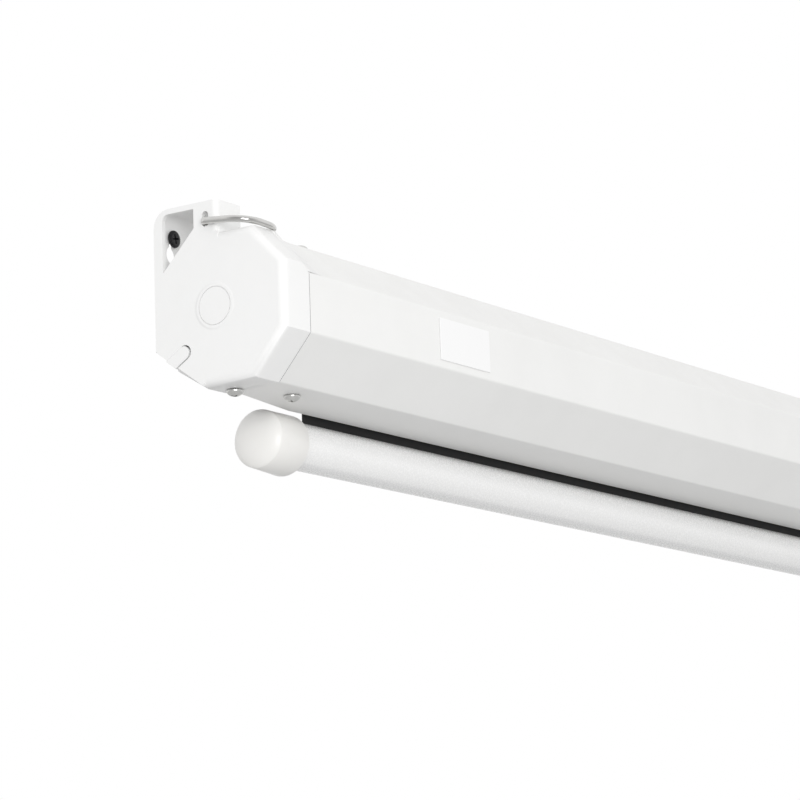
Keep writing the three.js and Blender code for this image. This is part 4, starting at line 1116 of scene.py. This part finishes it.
# %% [markdown]
# ## Pieces inside
# The roller, its plugs, the spring, the ratchet and the pawls are hidden by the casing. Their
# solids have the right shapes, so they stay, and each gets its finish.
# %% Finishes for the pieces inside
finishes = {
    galvanised: ["roller_tube", "torsion_spring", "pawl_a", "pawl_b"],
    zinc: ["idle_axle", "spring_shaft", "ratchet_wheel", "pawl_pin_a", "pawl_pin_b"],
    black_nylon: ["roller_plug_left", "roller_plug_right", "spring_anchor", "spring_collar"],
    rod_plastic: ["hem_rod"],
}
for material, nodes in finishes.items():
    for node in nodes:
        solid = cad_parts[node]
        if not solid.material_slots:
            solid.data.materials.append(material)
        for slot in solid.material_slots:
            slot.material = material
    print(material.name, "on", len(nodes), "solids")

# %% [markdown]
# ## Floor, light and background
# A pale floor lies far below, where the bar never reaches. It takes the shadow, and throws
# some light back up under the casing.
# %% Floor
FLOOR_HALF = 14
FLOOR_PLACE = (0.8, 0.0, -3.0)
work = bmesh.new()
bmesh.ops.create_grid(work, x_segments=1, y_segments=1, size=FLOOR_HALF)
mesh = bpy.data.meshes.new("floor")
work.to_mesh(mesh)
work.free()
floor_paint, tree, shader = new_material("floor_paint", Roughness=0.9)
pale, paler = colour(0.85, 0.85, 0.85), colour(0.87, 0.87, 0.87)
floor_tone = place(tree, drift, Base=paler, Second=pale, Broad_size=0.8, Amount=0.5)["Color"]
tree.links.new(floor_tone, shader.inputs["Base Color"])
floor = to_object("floor", mesh, [floor_paint])
floor.location = FLOOR_PLACE
print("floor at", FLOOR_PLACE)

# %% [markdown]
# ### World
# The white background comes from what the camera sees of the world, not from extra light. The
# world is brighter on the room's side than on the wall's, and metal sees it darker where the
# camera stands, as in a studio. An even world would leave every side the same white.
# %% World
world = bpy.data.worlds.new("studio")
scene.world = world
world.use_nodes = True
tree = world.node_tree
backdrop = tree.nodes["Background"]
backdrop.inputs["Color"].default_value = (1, 1, 1, 1)
path_kind = add(tree, "LightPath").outputs
outward = add(tree, "TexCoord").outputs["Generated"]


def from_side(direction, low, high, least, most):
    """A level that changes with how far a ray points along a direction."""
    along = add(tree, "VectorMath", {0: outward, 1: direction}, operation="DOT_PRODUCT")
    return ramp(tree, along.outputs["Value"], low, high, least, most)


def mixed_level(share, one, two):
    """A level mixed from one towards two by a share."""
    return add(tree, "Mix", {0: share, 2: one, 3: two}, data_type="FLOAT").outputs[0]


room_side = Vector((-0.35, -0.92, 0.15)).normalized()
camera_side = Vector((-0.81, -0.55, -0.19)).normalized()
soft_light = from_side(room_side, -0.9, 0.9, 0.66, 0.885)
mirror_light = from_side(camera_side, 0.1, 0.85, 1.0, 0.42)
direct = maths(tree, "MAXIMUM", path_kind["Is Camera Ray"], path_kind["Is Transmission Ray"])
level = mixed_level(path_kind["Is Glossy Ray"], soft_light, mirror_light)
tree.links.new(mixed_level(direct, level, 1.0), backdrop.inputs["Strength"])
print(world.name, "world has", len(tree.nodes), "nodes")

# %% [markdown]
# ### Lamps
# Two wide lamps add to the world: one from near the camera, which falls off along the casing,
# and a weaker one from above. Small lamps would give hard shadows, and the photograph has none.
# %% Lamps
def lamp(name, kind, strength, toward, place_at=(0, 0, 0), **settings):
    """A lamp that shines from a direction, with its own settings."""
    light = bpy.data.lights.new(name, kind)
    light.energy = strength
    for key, value in settings.items():
        setattr(light, key, value)
    holder = bpy.data.objects.new(name, light)
    holder.location = place_at
    holder.rotation_euler = toward.to_track_quat("Z", "Y").to_euler()
    scene.collection.objects.link(holder)


key_place, key_aim = Vector((-1.6, -1.7, -0.1)), Vector((0.05, 0.0, 0.0))
lamp("key_box", "AREA", 24.5, key_place - key_aim, key_place, size=1.0)
lamp("top_lamp", "SUN", 0.06, Vector((-0.45, -0.55, 0.7)), angle=math.radians(60))
scene.view_settings.view_transform = "Standard"
print(len(bpy.data.lights), "lamps")
